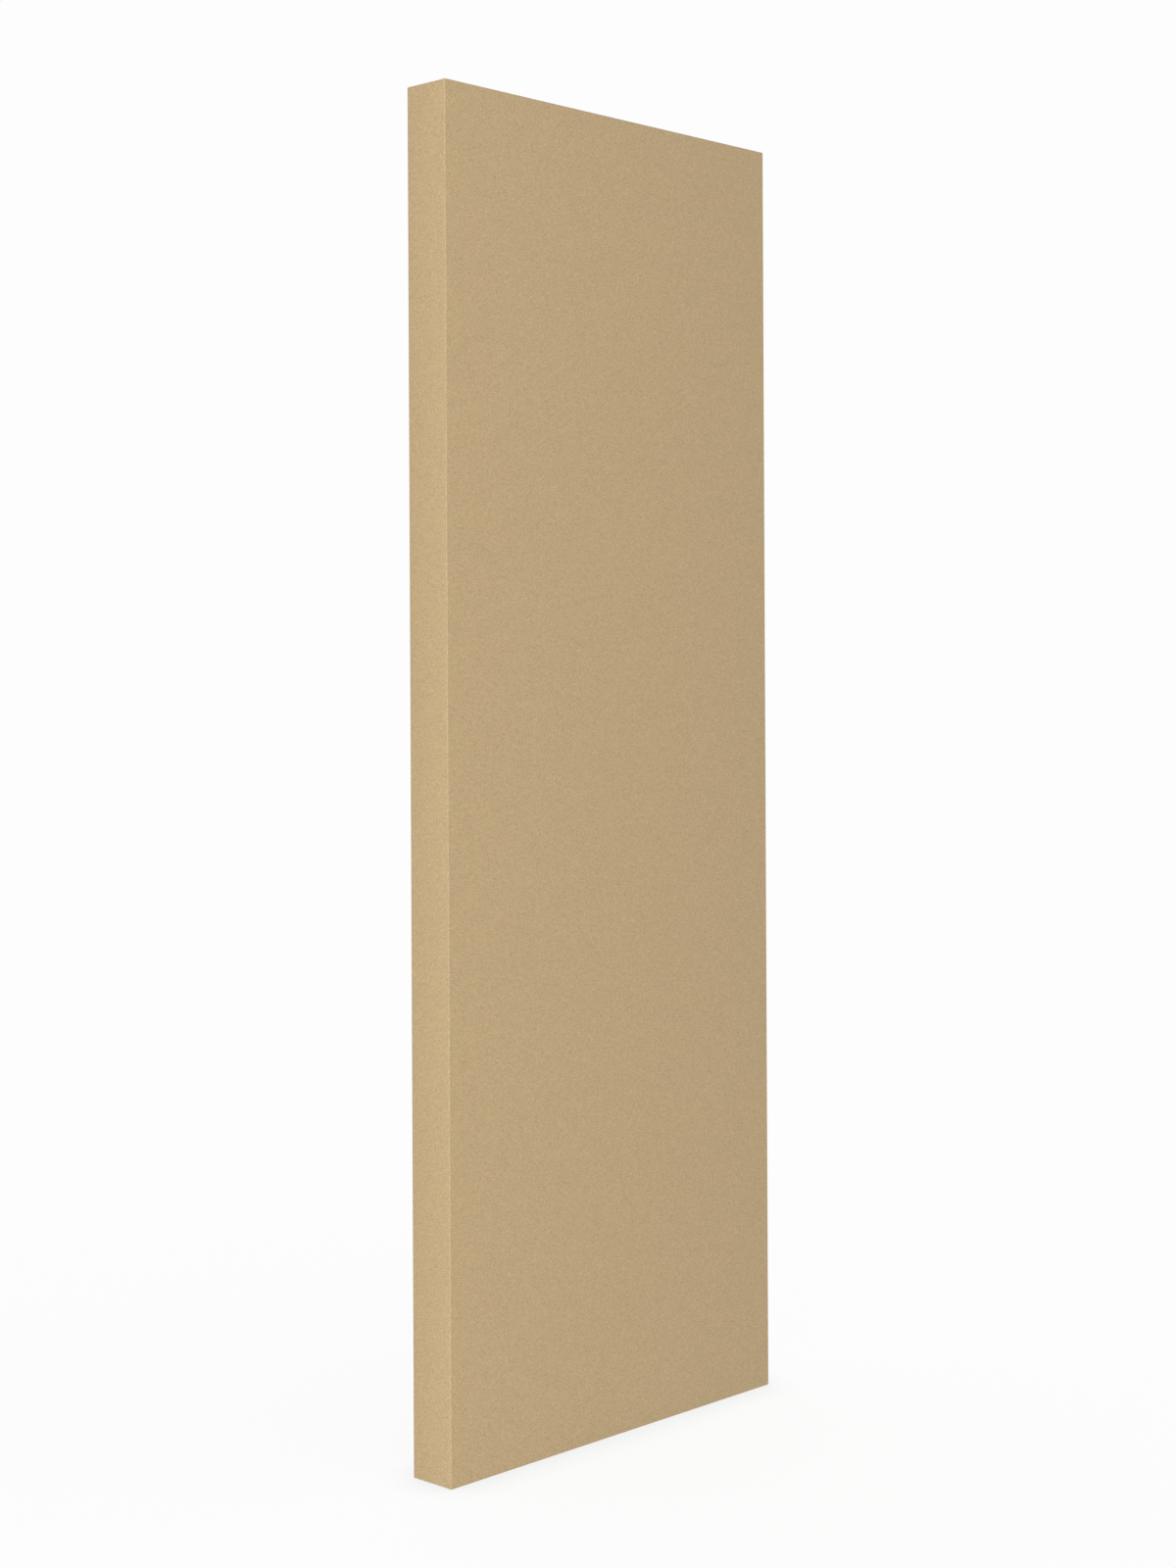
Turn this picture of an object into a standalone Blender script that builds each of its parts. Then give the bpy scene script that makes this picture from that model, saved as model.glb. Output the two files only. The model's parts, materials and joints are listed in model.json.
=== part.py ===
"""Cloth-covered acoustic panel for a wall.

A mineral-wool slab sits in a rebated timber frame with two cross braces. Cloth is stretched over the front
and the sides and turned in behind, a dust cover closes the back, and the panel hangs on two D-rings.

Metres, +Z up. The panel stands on its bottom edge with its front towards -Y. The origin is the middle of
its bottom face.
"""

import math

import bmesh
import bpy
from mathutils import Matrix, Vector

# Gap that pieces which touch keep between them
GAP = 0.0003
# How far a cutter reaches past the surface that it opens
OVERRUN = 0.002

# Mineral-wool slab, and the fleece that lies on its front
SLAB_WIDTH = 0.400
SLAB_HEIGHT = 1.200
SLAB_THICKNESS = 0.045
FLEECE_THICKNESS = 0.0012

# Timber frame
TIMBER_THICKNESS = 0.018
REBATE_DEPTH = 0.009
ARRIS_RADIUS = 0.0005

# Plywood braces, let into the rear edges of the stiles
BRACE_WIDTH = 0.045
BRACE_THICKNESS = 0.0055
BRACE_SPACING = 0.420

# Cloth cover
CLOTH_THICKNESS = 0.0008
TURN_IN = 0.030
PLEAT_INSET = 0.0035
PLEAT_DEPTH = 0.0005

# Dust cover
DUST_COVER_THICKNESS = 0.0005
DUST_COVER_INSET = 0.006

# Corner screws, two to a corner, through the stile into the rail's end
CORNER_SCREW_DIAMETER = 0.004
CORNER_SCREW_LENGTH = 0.040
CORNER_SCREW_HEAD = 0.0076
CORNER_SCREW_SPREAD = 0.024

# Brace screws, two to an end, through the brace into the stile
BRACE_SCREW_DIAMETER = 0.003
BRACE_SCREW_LENGTH = 0.016
BRACE_SCREW_HEAD = 0.0058
BRACE_SCREW_SPREAD = 0.024

# D-ring hangers: a strap folded round the bar of a wire ring, inwards of the stile's middle
HANGER_DROP = 0.150
HANGER_OFFSET = 0.004
STRAP_WIDTH = 0.009
STRAP_THICKNESS = 0.0009
STRAP_LEAF_GAP = 0.0003
STRAP_FOLD_ANGLE = math.radians(60)
STRAP_JOGGLE_RADIUS = 0.0012
STRAP_END_MARGIN = 0.0055
WIRE_DIAMETER = 0.0022
EYE_CLEARANCE = 0.0003
RING_SIDE_CLEARANCE = 0.0005
RING_BEND_RADIUS = 0.002
RING_LEG = 0.007
HANGER_SCREW_DIAMETER = 0.003
HANGER_SCREW_LENGTH = 0.016
HANGER_SCREW_HEAD = 0.0060
HANGER_SCREW_HEAD_HEIGHT = 0.0019
HANGER_SCREW_PITCH = 0.014
HANGER_SCREW_MARGIN = 0.001

# Rubber wall bumpers, inwards of the stile's middle
BUMPER_INSET = 0.030
BUMPER_OFFSET = 0.003
BUMPER_DIAMETER = 0.0125
BUMPER_TAPER = 0.00075
BUMPER_HEIGHT = 0.006
BUMPER_ROUNDING = 0.0008
COUNTERBORE_DIAMETER = 0.0066
COUNTERBORE_DEPTH = 0.0030
BUMPER_SCREW_DIAMETER = 0.003
BUMPER_SCREW_LENGTH = 0.016
BUMPER_SCREW_HEAD = 0.0054
BUMPER_SCREW_HEAD_HEIGHT = 0.0017

# Shape of every screw: shares of its diameter or its head, and the rim of a countersunk head
TIP_SHARE = 1.3
PAN_RIM_SHARE = 0.35
RECESS_REACH = 0.32
RECESS_WIDTH = 0.13
RECESS_DEPTH = 0.30
COUNTERSINK_RIM = 0.0004

# Smoothness of round shapes
SCREW_SIDES = 12
BUMPER_SIDES = 24
EYE_STEPS = 14
BEND_STEPS = 4
BOW_STEPS = 14
ARRIS_STEPS = 3
DOME_STEPS = 4

# Sizes that follow from those above
OPENING_WIDTH = SLAB_WIDTH + 2 * GAP
OPENING_HEIGHT = SLAB_HEIGHT + 2 * GAP
FRAME_WIDTH = OPENING_WIDTH + 2 * TIMBER_THICKNESS
FRAME_HEIGHT = OPENING_HEIGHT + 2 * TIMBER_THICKNESS
FRAME_DEPTH = FLEECE_THICKNESS + GAP + SLAB_THICKNESS
WRAP = GAP + CLOTH_THICKNESS
PANEL_WIDTH = FRAME_WIDTH + 2 * WRAP
PANEL_HEIGHT = FRAME_HEIGHT + 2 * WRAP
PANEL_DEPTH = FRAME_DEPTH + 2 * WRAP

FRAME_FRONT = -FRAME_DEPTH / 2
FRAME_REAR = FRAME_DEPTH / 2
FRAME_BOTTOM = WRAP
FRAME_TOP = WRAP + FRAME_HEIGHT
MIDDLE_HEIGHT = PANEL_HEIGHT / 2
STILE_CENTRE = FRAME_WIDTH / 2 - TIMBER_THICKNESS / 2
HANGER_CENTRE = STILE_CENTRE - HANGER_OFFSET
BUMPER_CENTRE = STILE_CENTRE - BUMPER_OFFSET
COVER_REAR = PANEL_DEPTH / 2
DUST_COVER_FRONT = COVER_REAR + GAP
DUST_COVER_REAR = DUST_COVER_FRONT + DUST_COVER_THICKNESS
HARDWARE_SEAT = DUST_COVER_REAR + GAP
SIDES = {"left": -1, "right": 1}
BRACE_HEIGHTS = {
    "lower": MIDDLE_HEIGHT - BRACE_SPACING / 2,
    "upper": MIDDLE_HEIGHT + BRACE_SPACING / 2,
}

WIRE_RADIUS = WIRE_DIAMETER / 2
EYE_RADIUS = WIRE_RADIUS + EYE_CLEARANCE
EYE_STANDOFF = EYE_RADIUS + STRAP_THICKNESS
STRAP_FACE = 2 * STRAP_THICKNESS + STRAP_LEAF_GAP
RING_HALF_BAR = STRAP_WIDTH / 2 + RING_SIDE_CLEARANCE
RING_HALF_WIDTH = RING_HALF_BAR + RING_BEND_RADIUS
RING_REACH = RING_BEND_RADIUS + RING_LEG + RING_HALF_WIDTH
EYE_HEIGHT = FRAME_TOP - HANGER_DROP
EYE_DEPTH = HARDWARE_SEAT + EYE_STANDOFF
# The hanging ring leans out until its bow lies just off the strap.
RING_LEAN = math.asin((STRAP_FACE + GAP + WIRE_RADIUS - EYE_STANDOFF) / RING_REACH)
UPPER_SCREW_DROP = RING_REACH + WIRE_RADIUS + HANGER_SCREW_HEAD / 2 + HANGER_SCREW_MARGIN
LOWER_SCREW_DROP = UPPER_SCREW_DROP + HANGER_SCREW_PITCH
STRAP_REACH = LOWER_SCREW_DROP + STRAP_END_MARGIN


def material(name, colour, roughness, metallic=0.0):
    """A plain surface finish."""
    made = bpy.data.materials.new(name)
    made.use_nodes = True
    shader = made.node_tree.nodes["Principled BSDF"]
    shader.inputs["Base Color"].default_value = (*colour, 1.0)
    shader.inputs["Roughness"].default_value = roughness
    shader.inputs["Metallic"].default_value = metallic
    made.diffuse_color = (*colour, 1.0)
    return made


def add_object(name, bm, finish=None):
    """Turns a bmesh into a named object with its normals facing out."""
    bmesh.ops.recalc_face_normals(bm, faces=bm.faces)
    mesh = bpy.data.meshes.new(name)
    bm.to_mesh(mesh)
    bm.free()
    if finish:
        mesh.materials.append(finish)
    made = bpy.data.objects.new(name, mesh)
    bpy.context.scene.collection.objects.link(made)
    return made


def smooth(made, angle=math.radians(35)):
    """Shades round faces smooth and keeps the sharp edges sharp."""
    made.data.shade_smooth()
    made.data.set_sharp_from_angle(angle=angle)


def as_cutter(made):
    """Marks an object as a tool that only shapes others."""
    made.hide_render = True
    made.display_type = "WIRE"
    return made


def cut_from(made, cutter):
    """Adds a cutter to those that one Boolean takes out of an object."""
    name = "cuts_of_" + made.name
    group = bpy.data.collections.get(name)
    if group is None:
        group = bpy.data.collections.new(name)
        boolean = made.modifiers.new("cuts", "BOOLEAN")
        boolean.operation = "DIFFERENCE"
        boolean.solver = "EXACT"
        boolean.operand_type = "COLLECTION"
        boolean.collection = group
    group.objects.link(cutter)


def keep_inside(made, cutter):
    """Keeps only what an object shares with a cutter."""
    boolean = made.modifiers.new("outline", "BOOLEAN")
    boolean.operation = "INTERSECT"
    boolean.solver = "EXACT"
    boolean.object = cutter


def box_mesh(low, high):
    """A box between two corners."""
    low = Vector(low)
    high = Vector(high)
    bm = bmesh.new()
    bmesh.ops.create_cube(bm, size=1.0)
    bmesh.ops.scale(bm, vec=high - low, verts=bm.verts)
    bmesh.ops.translate(bm, vec=(low + high) / 2, verts=bm.verts)
    return bm


def round_edges(bm, radius, chosen=None):
    """Rounds the edges that the test chooses, or all of them."""
    edges = [edge for edge in bm.edges if chosen is None or chosen(edge)]
    bmesh.ops.bevel(
        bm,
        geom=edges,
        offset=radius,
        segments=ARRIS_STEPS,
        profile=0.5,
        affect="EDGES",
        clamp_overlap=True,
    )
    return bm


def lies_on(edge, axis, value):
    """Whether both ends of an edge have this coordinate."""
    return all(abs(vert.co[axis] - value) < GAP / 10 for vert in edge.verts)


def turned(name, profile, sides, finish=None):
    """Spins a closed profile of (radius, height) points, or one that ends on the axis, about +Z."""
    bm = bmesh.new()
    verts = [bm.verts.new((radius, 0.0, height)) for radius, height in profile]
    edges = [bm.edges.new(pair) for pair in zip(verts, verts[1:])]
    bmesh.ops.spin(
        bm,
        geom=verts + edges,
        cent=(0, 0, 0),
        axis=(0, 0, 1),
        angle=math.tau,
        steps=sides,
        use_merge=True,
    )
    bmesh.ops.remove_doubles(bm, verts=bm.verts, dist=GAP / 100)
    return add_object(name, bm, finish)


def bent_path(start, heading, moves):
    """Points of a path whose moves are a length straight on, or a (radius, turn, steps) of an arc."""
    points = [Vector(start)]
    for move in moves:
        direction = Vector((math.cos(heading), math.sin(heading)))
        if isinstance(move, float):
            points.append(points[-1] + direction * move)
            continue
        radius, turn, steps = move
        side = math.copysign(1.0, turn)
        centre = points[-1] + Vector((-direction.y, direction.x)) * radius * side
        spoke = points[-1] - centre
        for step in range(1, steps + 1):
            points.append(centre + Matrix.Rotation(turn * step / steps, 2) @ spoke)
        heading += turn
    return points


def strip_outline(points, thickness):
    """The outline of a strip of this thickness that follows a path."""
    left = []
    right = []
    for index, point in enumerate(points):
        before = points[max(index - 1, 0)]
        after = points[min(index + 1, len(points) - 1)]
        incoming = (point - before).normalized()
        outgoing = (after - point).normalized()
        along = (incoming + outgoing).normalized()
        bend = incoming if incoming.length > 0 else outgoing
        mitre = thickness / 2 / max(along.dot(bend), 0.5)
        across = Vector((-along.y, along.x)) * mitre
        left.append(point + across)
        right.append(point - across)
    return left + right[::-1]


def place(made, point, direction):
    """Puts an object at a point with its -Z axis along a direction."""
    made.location = point
    made.rotation_mode = "QUATERNION"
    made.rotation_quaternion = Vector((0, 0, -1)).rotation_difference(Vector(direction))
    return made


def add_recess(made, head, top):
    """Cuts a cross recess into the top of a screw's head."""
    reach = RECESS_REACH * head
    half_width = RECESS_WIDTH * head / 2
    depth = RECESS_DEPTH * head
    bm = bmesh.new()
    corners = []
    for quarter in range(4):
        turn = Matrix.Rotation(quarter * math.pi / 2, 3, "Z")
        for x, y in ((half_width, half_width), (reach, half_width), (reach, -half_width)):
            corners.append(turn @ Vector((x, y, top + OVERRUN)))
    upper = bm.faces.new([bm.verts.new(corner) for corner in order_round(corners)])
    lower = bmesh.ops.extrude_face_region(bm, geom=[upper])
    moved = [item for item in lower["geom"] if isinstance(item, bmesh.types.BMVert)]
    bmesh.ops.translate(bm, vec=(0, 0, -(depth + OVERRUN)), verts=moved)
    cutter = as_cutter(add_object("recess_of_" + made.name, bm))
    cutter.parent = made
    cut_from(made, cutter)


def order_round(points):
    """Sorts points by their angle about +Z, so that they form a loop."""
    return sorted(points, key=lambda point: math.atan2(point.y, point.x))


def countersunk_profile(diameter, head, length, grow=0.0, rise=0.0):
    """Half of a countersunk screw. Grown by a gap and raised, it is the cutter for its hole."""
    shank = diameter / 2 + grow
    rim = head / 2 + grow
    cone = (head - diameter) / 2
    below = -COUNTERSINK_RIM - grow
    return [
        (0.0, rise),
        (rim, rise),
        (rim, below),
        (shank, below - cone),
        (shank, -(length - TIP_SHARE * diameter)),
        (0.0, -length - grow),
    ]


def pan_profile(diameter, head, height, length):
    """Half of a pan-head screw, a dome on a short rim whose underside is at z = 0."""
    shank = diameter / 2
    rim = PAN_RIM_SHARE * height
    dome = []
    for step in range(DOME_STEPS + 1):
        angle = step / DOME_STEPS * math.pi / 2
        dome.append((head / 2 * math.sin(angle), rim + (height - rim) * math.cos(angle)))
    return dome + [
        (head / 2, 0.0),
        (shank, 0.0),
        (shank, -(length - TIP_SHARE * diameter)),
        (0.0, -length),
    ]


def hole_profile(diameter, length):
    """Half of the cutter for a plain blind hole with clearance round its screw."""
    radius = diameter / 2 + GAP
    return [
        (0.0, OVERRUN),
        (radius, OVERRUN),
        (radius, -(length - TIP_SHARE * diameter)),
        (0.0, -length - GAP),
    ]


def clear_scene():
    """Removes what the scene holds before the model is made."""
    for old in list(bpy.data.objects):
        bpy.data.objects.remove(old, do_unlink=True)


def make_slab(finish):
    """The mineral-wool slab, flush with the frame's rear, pressed in where the braces cross it."""
    front = FRAME_FRONT + FLEECE_THICKNESS + GAP
    bottom = MIDDLE_HEIGHT - SLAB_HEIGHT / 2
    low = (-SLAB_WIDTH / 2, front, bottom)
    high = (SLAB_WIDTH / 2, front + SLAB_THICKNESS, bottom + SLAB_HEIGHT)
    return add_object("absorber_slab", box_mesh(low, high), finish)


def make_fleece(finish):
    """The fleece that lies on the slab's front, flush with the frame's front edges."""
    bottom = MIDDLE_HEIGHT - SLAB_HEIGHT / 2
    low = (-SLAB_WIDTH / 2, FRAME_FRONT, bottom)
    high = (SLAB_WIDTH / 2, FRAME_FRONT + FLEECE_THICKNESS, bottom + SLAB_HEIGHT)
    return add_object("front_fleece", box_mesh(low, high), finish)


def make_stile(side, finish):
    """A long frame member. Its ends are rebated for the rails and its outer arrises eased."""
    sign = SIDES[side]
    outer = sign * FRAME_WIDTH / 2
    inner = sign * OPENING_WIDTH / 2
    low = (min(outer, inner), FRAME_FRONT, FRAME_BOTTOM)
    high = (max(outer, inner), FRAME_REAR, FRAME_TOP)
    bm = box_mesh(low, high)

    def outer_edge(edge):
        at_end = lies_on(edge, 2, FRAME_BOTTOM) or lies_on(edge, 2, FRAME_TOP)
        return lies_on(edge, 0, outer) or (at_end and not lies_on(edge, 0, inner))

    return add_object("stile_" + side, round_edges(bm, ARRIS_RADIUS, outer_edge), finish)


def make_rail(end, finish):
    """A short frame member, whose ends sit in the stiles' rebates."""
    half_length = OPENING_WIDTH / 2 + REBATE_DEPTH - GAP
    outer = FRAME_TOP if end == "top" else FRAME_BOTTOM
    inner = FRAME_TOP - TIMBER_THICKNESS if end == "top" else FRAME_BOTTOM + TIMBER_THICKNESS
    low = (-half_length, FRAME_FRONT, min(outer, inner))
    high = (half_length, FRAME_REAR, max(outer, inner))
    bm = box_mesh(low, high)

    def outer_edge(edge):
        along = abs(edge.verts[0].co.x - edge.verts[1].co.x) > half_length
        return along and lies_on(edge, 2, outer)

    return add_object("rail_" + end, round_edges(bm, ARRIS_RADIUS, outer_edge), finish)


def cut_rebates(stiles):
    """Cuts the rebate at each end of both stiles, a gap larger than the rail's end."""
    reach = OPENING_WIDTH / 2 + REBATE_DEPTH
    depth = TIMBER_THICKNESS + GAP
    for end, low_z in (("bottom", FRAME_BOTTOM - OVERRUN), ("top", FRAME_TOP - depth)):
        low = (-reach, FRAME_FRONT - OVERRUN, low_z)
        high = (reach, FRAME_REAR + OVERRUN, low_z + depth + OVERRUN)
        cutter = as_cutter(add_object("rebate_cutter_" + end, box_mesh(low, high)))
        for stile in stiles:
            cut_from(stile, cutter)


def make_brace(level, finish):
    """A plywood slat that lies in notches across both stiles, flush with their rear edges."""
    low_z = BRACE_HEIGHTS[level] - BRACE_WIDTH / 2
    low = (-FRAME_WIDTH / 2, FRAME_REAR - BRACE_THICKNESS, low_z)
    high = (FRAME_WIDTH / 2, FRAME_REAR, low_z + BRACE_WIDTH)
    bm = box_mesh(low, high)

    def end_arris(edge):
        at_end = lies_on(edge, 0, low[0]) or lies_on(edge, 0, high[0])
        return at_end and lies_on(edge, 1, FRAME_REAR)

    return add_object("brace_" + level, round_edges(bm, ARRIS_RADIUS, end_arris), finish)


def cut_notches(stiles, slab):
    """Notches the stiles and presses the slab in, a gap larger than each brace."""
    for level, height in BRACE_HEIGHTS.items():
        half = BRACE_WIDTH / 2 + GAP
        low = (-FRAME_WIDTH / 2 - OVERRUN, FRAME_REAR - BRACE_THICKNESS - GAP, height - half)
        high = (FRAME_WIDTH / 2 + OVERRUN, FRAME_REAR + OVERRUN, height + half)
        cutter = as_cutter(add_object("notch_cutter_" + level, box_mesh(low, high)))
        for piece in (*stiles, slab):
            cut_from(piece, cutter)


def make_cover(finish):
    """The cloth, as a tray that wraps the frame: front, four sides and the turn-in behind."""
    outer_low = (-PANEL_WIDTH / 2, -COVER_REAR, 0.0)
    outer_high = (PANEL_WIDTH / 2, COVER_REAR, PANEL_HEIGHT)
    inner_radius = ARRIS_RADIUS + GAP
    shell = round_edges(box_mesh(outer_low, outer_high), inner_radius + CLOTH_THICKNESS)
    cover = add_object("fabric_cover", shell, finish)

    inset = Vector((CLOTH_THICKNESS, CLOTH_THICKNESS, CLOTH_THICKNESS))
    inside = box_mesh(Vector(outer_low) + inset, Vector(outer_high) - inset)
    cut_from(cover, as_cutter(add_object("cover_inside", round_edges(inside, inner_radius))))

    half_width = PANEL_WIDTH / 2 - TURN_IN
    low = (-half_width, 0.0, TURN_IN)
    high = (half_width, COVER_REAR + OVERRUN, PANEL_HEIGHT - TURN_IN)
    cut_from(cover, as_cutter(add_object("cover_rear_opening", box_mesh(low, high))))

    for crease in pleat_cutters():
        cut_from(cover, crease)
    smooth(cover)
    return cover


def groove(name, start, end, outward):
    """A three-sided cutter that presses a crease along a line on a face with this normal."""
    start = Vector(start)
    end = Vector(end)
    outward = Vector(outward)
    across = (end - start).cross(outward).normalized() * 2 * PLEAT_DEPTH
    bm = bmesh.new()
    rings = []
    for point in (start, end):
        bottom = point - outward * PLEAT_DEPTH
        above = point + outward * PLEAT_DEPTH
        rings.append([bm.verts.new(corner) for corner in (bottom, above + across, above - across)])
    bm.faces.new(rings[0])
    bm.faces.new(rings[1][::-1])
    for index in range(3):
        following = (index + 1) % 3
        bm.faces.new((rings[0][index], rings[0][following], rings[1][following], rings[1][index]))
    return as_cutter(add_object(name, bm))


def pleat_cutters():
    """The folds at each corner: along the depth on the top and bottom, and mitred behind."""
    cutters = []
    for side, sign in SIDES.items():
        for end, height, out in (("bottom", 0.0, -1), ("top", PANEL_HEIGHT, 1)):
            x = sign * (PANEL_WIDTH / 2 - PLEAT_INSET)
            name = f"pleat_{end}_{side}"
            start = (x, -COVER_REAR - OVERRUN, height)
            turn = (x, COVER_REAR + OVERRUN, height)
            cutters.append(groove(name, start, turn, (0, 0, out)))
            corner = Vector((x, COVER_REAR, height))
            diagonal = Vector((-sign, 0, -out))
            outer = corner - diagonal * OVERRUN
            inner = corner + diagonal * (TURN_IN + OVERRUN)
            cutters.append(groove(f"mitre_{end}_{side}", outer, inner, (0, 1, 0)))
    return cutters


def make_dust_cover(finish):
    """The thin sheet that closes the back, stapled over the turned-in cloth."""
    half_width = PANEL_WIDTH / 2 - DUST_COVER_INSET
    low = (-half_width, DUST_COVER_FRONT, DUST_COVER_INSET)
    high = (half_width, DUST_COVER_REAR, PANEL_HEIGHT - DUST_COVER_INSET)
    return add_object("dust_cover", box_mesh(low, high), finish)


def make_corner_screws(finish, stiles, rails):
    """Two countersunk screws at each corner, driven through the stile into the rail's end grain."""
    sizes = (CORNER_SCREW_DIAMETER, CORNER_SCREW_HEAD, CORNER_SCREW_LENGTH)
    sunk = GAP
    for side, sign in SIDES.items():
        for end, height in (
            ("bottom", FRAME_BOTTOM + TIMBER_THICKNESS / 2),
            ("top", FRAME_TOP - TIMBER_THICKNESS / 2),
        ):
            for row, depth_sign in (("front", -1), ("rear", 1)):
                point = (sign * (FRAME_WIDTH / 2 - sunk), depth_sign * CORNER_SCREW_SPREAD / 2, height)
                name = f"corner_screw_{end}_{side}_{row}"
                screw = turned(name, countersunk_profile(*sizes), SCREW_SIDES, finish)
                smooth(place(screw, point, (-sign, 0, 0)))
                add_recess(screw, CORNER_SCREW_HEAD, 0.0)
                profile = countersunk_profile(*sizes, grow=GAP, rise=OVERRUN)
                hole = as_cutter(turned("hole_of_" + name, profile, SCREW_SIDES))
                place(hole, point, (-sign, 0, 0))
                cut_from(stiles[side], hole)
                cut_from(rails[end], hole)


def make_brace_screws(finish, stiles, braces):
    """Two countersunk screws at each end of a brace, driven into the stile behind it."""
    sizes = (BRACE_SCREW_DIAMETER, BRACE_SCREW_HEAD, BRACE_SCREW_LENGTH)
    sunk = GAP
    for level, height in BRACE_HEIGHTS.items():
        for side, sign in SIDES.items():
            for row, row_sign in (("low", -1), ("high", 1)):
                offset = row_sign * BRACE_SCREW_SPREAD / 2
                point = (sign * STILE_CENTRE, FRAME_REAR - sunk, height + offset)
                name = f"brace_screw_{level}_{side}_{row}"
                screw = turned(name, countersunk_profile(*sizes), SCREW_SIDES, finish)
                smooth(place(screw, point, (0, -1, 0)))
                add_recess(screw, BRACE_SCREW_HEAD, 0.0)
                profile = countersunk_profile(*sizes, grow=GAP, rise=OVERRUN)
                hole = as_cutter(turned("hole_of_" + name, profile, SCREW_SIDES))
                place(hole, point, (0, -1, 0))
                cut_from(braces[level], hole)
                cut_from(stiles[side], hole)


def strap_path():
    """The strap's middle line: up the panel, round the eye, in by a joggle and down over itself."""
    bend = EYE_RADIUS + STRAP_THICKNESS / 2
    inner_leaf = STRAP_THICKNESS / 2
    outer_leaf = inner_leaf + STRAP_THICKNESS + STRAP_LEAF_GAP
    fold = STRAP_FOLD_ANGLE
    start_of_slope = EYE_STANDOFF + bend * math.cos(fold)
    end_of_slope = outer_leaf + STRAP_JOGGLE_RADIUS * (1 - math.cos(fold))
    slope = (start_of_slope - end_of_slope) / math.sin(fold)
    drop = bend * math.sin(fold) + slope * math.cos(fold) + STRAP_JOGGLE_RADIUS * math.sin(fold)
    moves = (
        STRAP_REACH,
        (bend, -(math.pi + fold), EYE_STEPS),
        slope,
        (STRAP_JOGGLE_RADIUS, fold, BEND_STEPS),
        STRAP_REACH - drop,
    )
    return bent_path((inner_leaf, -STRAP_REACH), math.pi / 2, moves)


def make_strap(side, finish):
    """A steel strap folded flat on itself, with an eye for the ring's bar and rounded ends."""
    x = SIDES[side] * HANGER_CENTRE
    outline = strip_outline(strap_path(), STRAP_THICKNESS)
    bm = bmesh.new()
    verts = [bm.verts.new((-STRAP_WIDTH / 2, across, up)) for across, up in outline]
    face = bm.faces.new(verts)
    extruded = bmesh.ops.extrude_face_region(bm, geom=[face])
    moved = [item for item in extruded["geom"] if isinstance(item, bmesh.types.BMVert)]
    bmesh.ops.translate(bm, vec=(STRAP_WIDTH, 0, 0), verts=moved)
    strap = add_object("hanger_strap_" + side, bm, finish)
    strap.location = (x, HARDWARE_SEAT, EYE_HEIGHT)

    plan = as_cutter(strap_plan(side))
    plan.parent = strap
    keep_inside(strap, plan)
    smooth(strap)
    return strap


def strap_plan(side):
    """The strap's outline seen from behind, a tongue with a round lower end, as a deep prism."""
    half = STRAP_WIDTH / 2
    top = EYE_STANDOFF + OVERRUN
    centre = -STRAP_REACH + half
    points = [(half, top), (-half, top)]
    for step in range(SCREW_SIDES + 1):
        angle = math.pi + math.pi * step / SCREW_SIDES
        points.append((half * math.cos(angle), centre + half * math.sin(angle)))
    bm = bmesh.new()
    face = bm.faces.new([bm.verts.new((x, -OVERRUN, z)) for x, z in points])
    extruded = bmesh.ops.extrude_face_region(bm, geom=[face])
    moved = [item for item in extruded["geom"] if isinstance(item, bmesh.types.BMVert)]
    bmesh.ops.translate(bm, vec=(0, 2 * EYE_STANDOFF + 2 * OVERRUN, 0), verts=moved)
    return add_object("strap_plan_" + side, bm)


def make_ring(side, finish):
    """The wire D-ring. Its origin is the middle of its bar, on the eye's axis, and it hangs down."""
    corner = (RING_BEND_RADIUS, -math.pi / 2, BEND_STEPS)
    bow = (RING_HALF_WIDTH, -math.pi, BOW_STEPS)
    moves = (RING_HALF_BAR, corner, RING_LEG, bow, RING_LEG, corner)
    points = bent_path((0.0, 0.0), 0.0, moves)
    curve = bpy.data.curves.new("hanger_ring_" + side, "CURVE")
    curve.dimensions = "3D"
    curve.bevel_depth = WIRE_RADIUS
    curve.bevel_resolution = 2
    curve.materials.append(finish)
    spline = curve.splines.new("POLY")
    spline.points.add(len(points) - 1)
    spline.use_cyclic_u = True
    for target, (across, up) in zip(spline.points, points):
        target.co = (across, 0.0, up, 1.0)
    ring = bpy.data.objects.new("hanger_ring_" + side, curve)
    bpy.context.scene.collection.objects.link(ring)
    ring.location = (SIDES[side] * HANGER_CENTRE, EYE_DEPTH, EYE_HEIGHT)
    ring.rotation_euler = (RING_LEAN, 0.0, 0.0)
    return ring


def make_hanger_screws(side, finish, pieces):
    """Two pan-head screws that hold a strap to its stile through the dust cover and the cloth."""
    x = SIDES[side] * HANGER_CENTRE
    seat = HARDWARE_SEAT + STRAP_FACE + GAP
    for row, drop in (("upper", UPPER_SCREW_DROP), ("lower", LOWER_SCREW_DROP)):
        point = (x, seat, EYE_HEIGHT - drop)
        name = f"hanger_screw_{side}_{row}"
        profile = pan_profile(
            HANGER_SCREW_DIAMETER, HANGER_SCREW_HEAD, HANGER_SCREW_HEAD_HEIGHT, HANGER_SCREW_LENGTH
        )
        screw = turned(name, profile, SCREW_SIDES, finish)
        smooth(place(screw, point, (0, -1, 0)))
        add_recess(screw, HANGER_SCREW_HEAD, HANGER_SCREW_HEAD_HEIGHT)
        hole_shape = hole_profile(HANGER_SCREW_DIAMETER, HANGER_SCREW_LENGTH)
        hole = as_cutter(turned("hole_of_" + name, hole_shape, SCREW_SIDES))
        place(hole, point, (0, -1, 0))
        for piece in pieces:
            cut_from(piece, hole)


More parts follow.
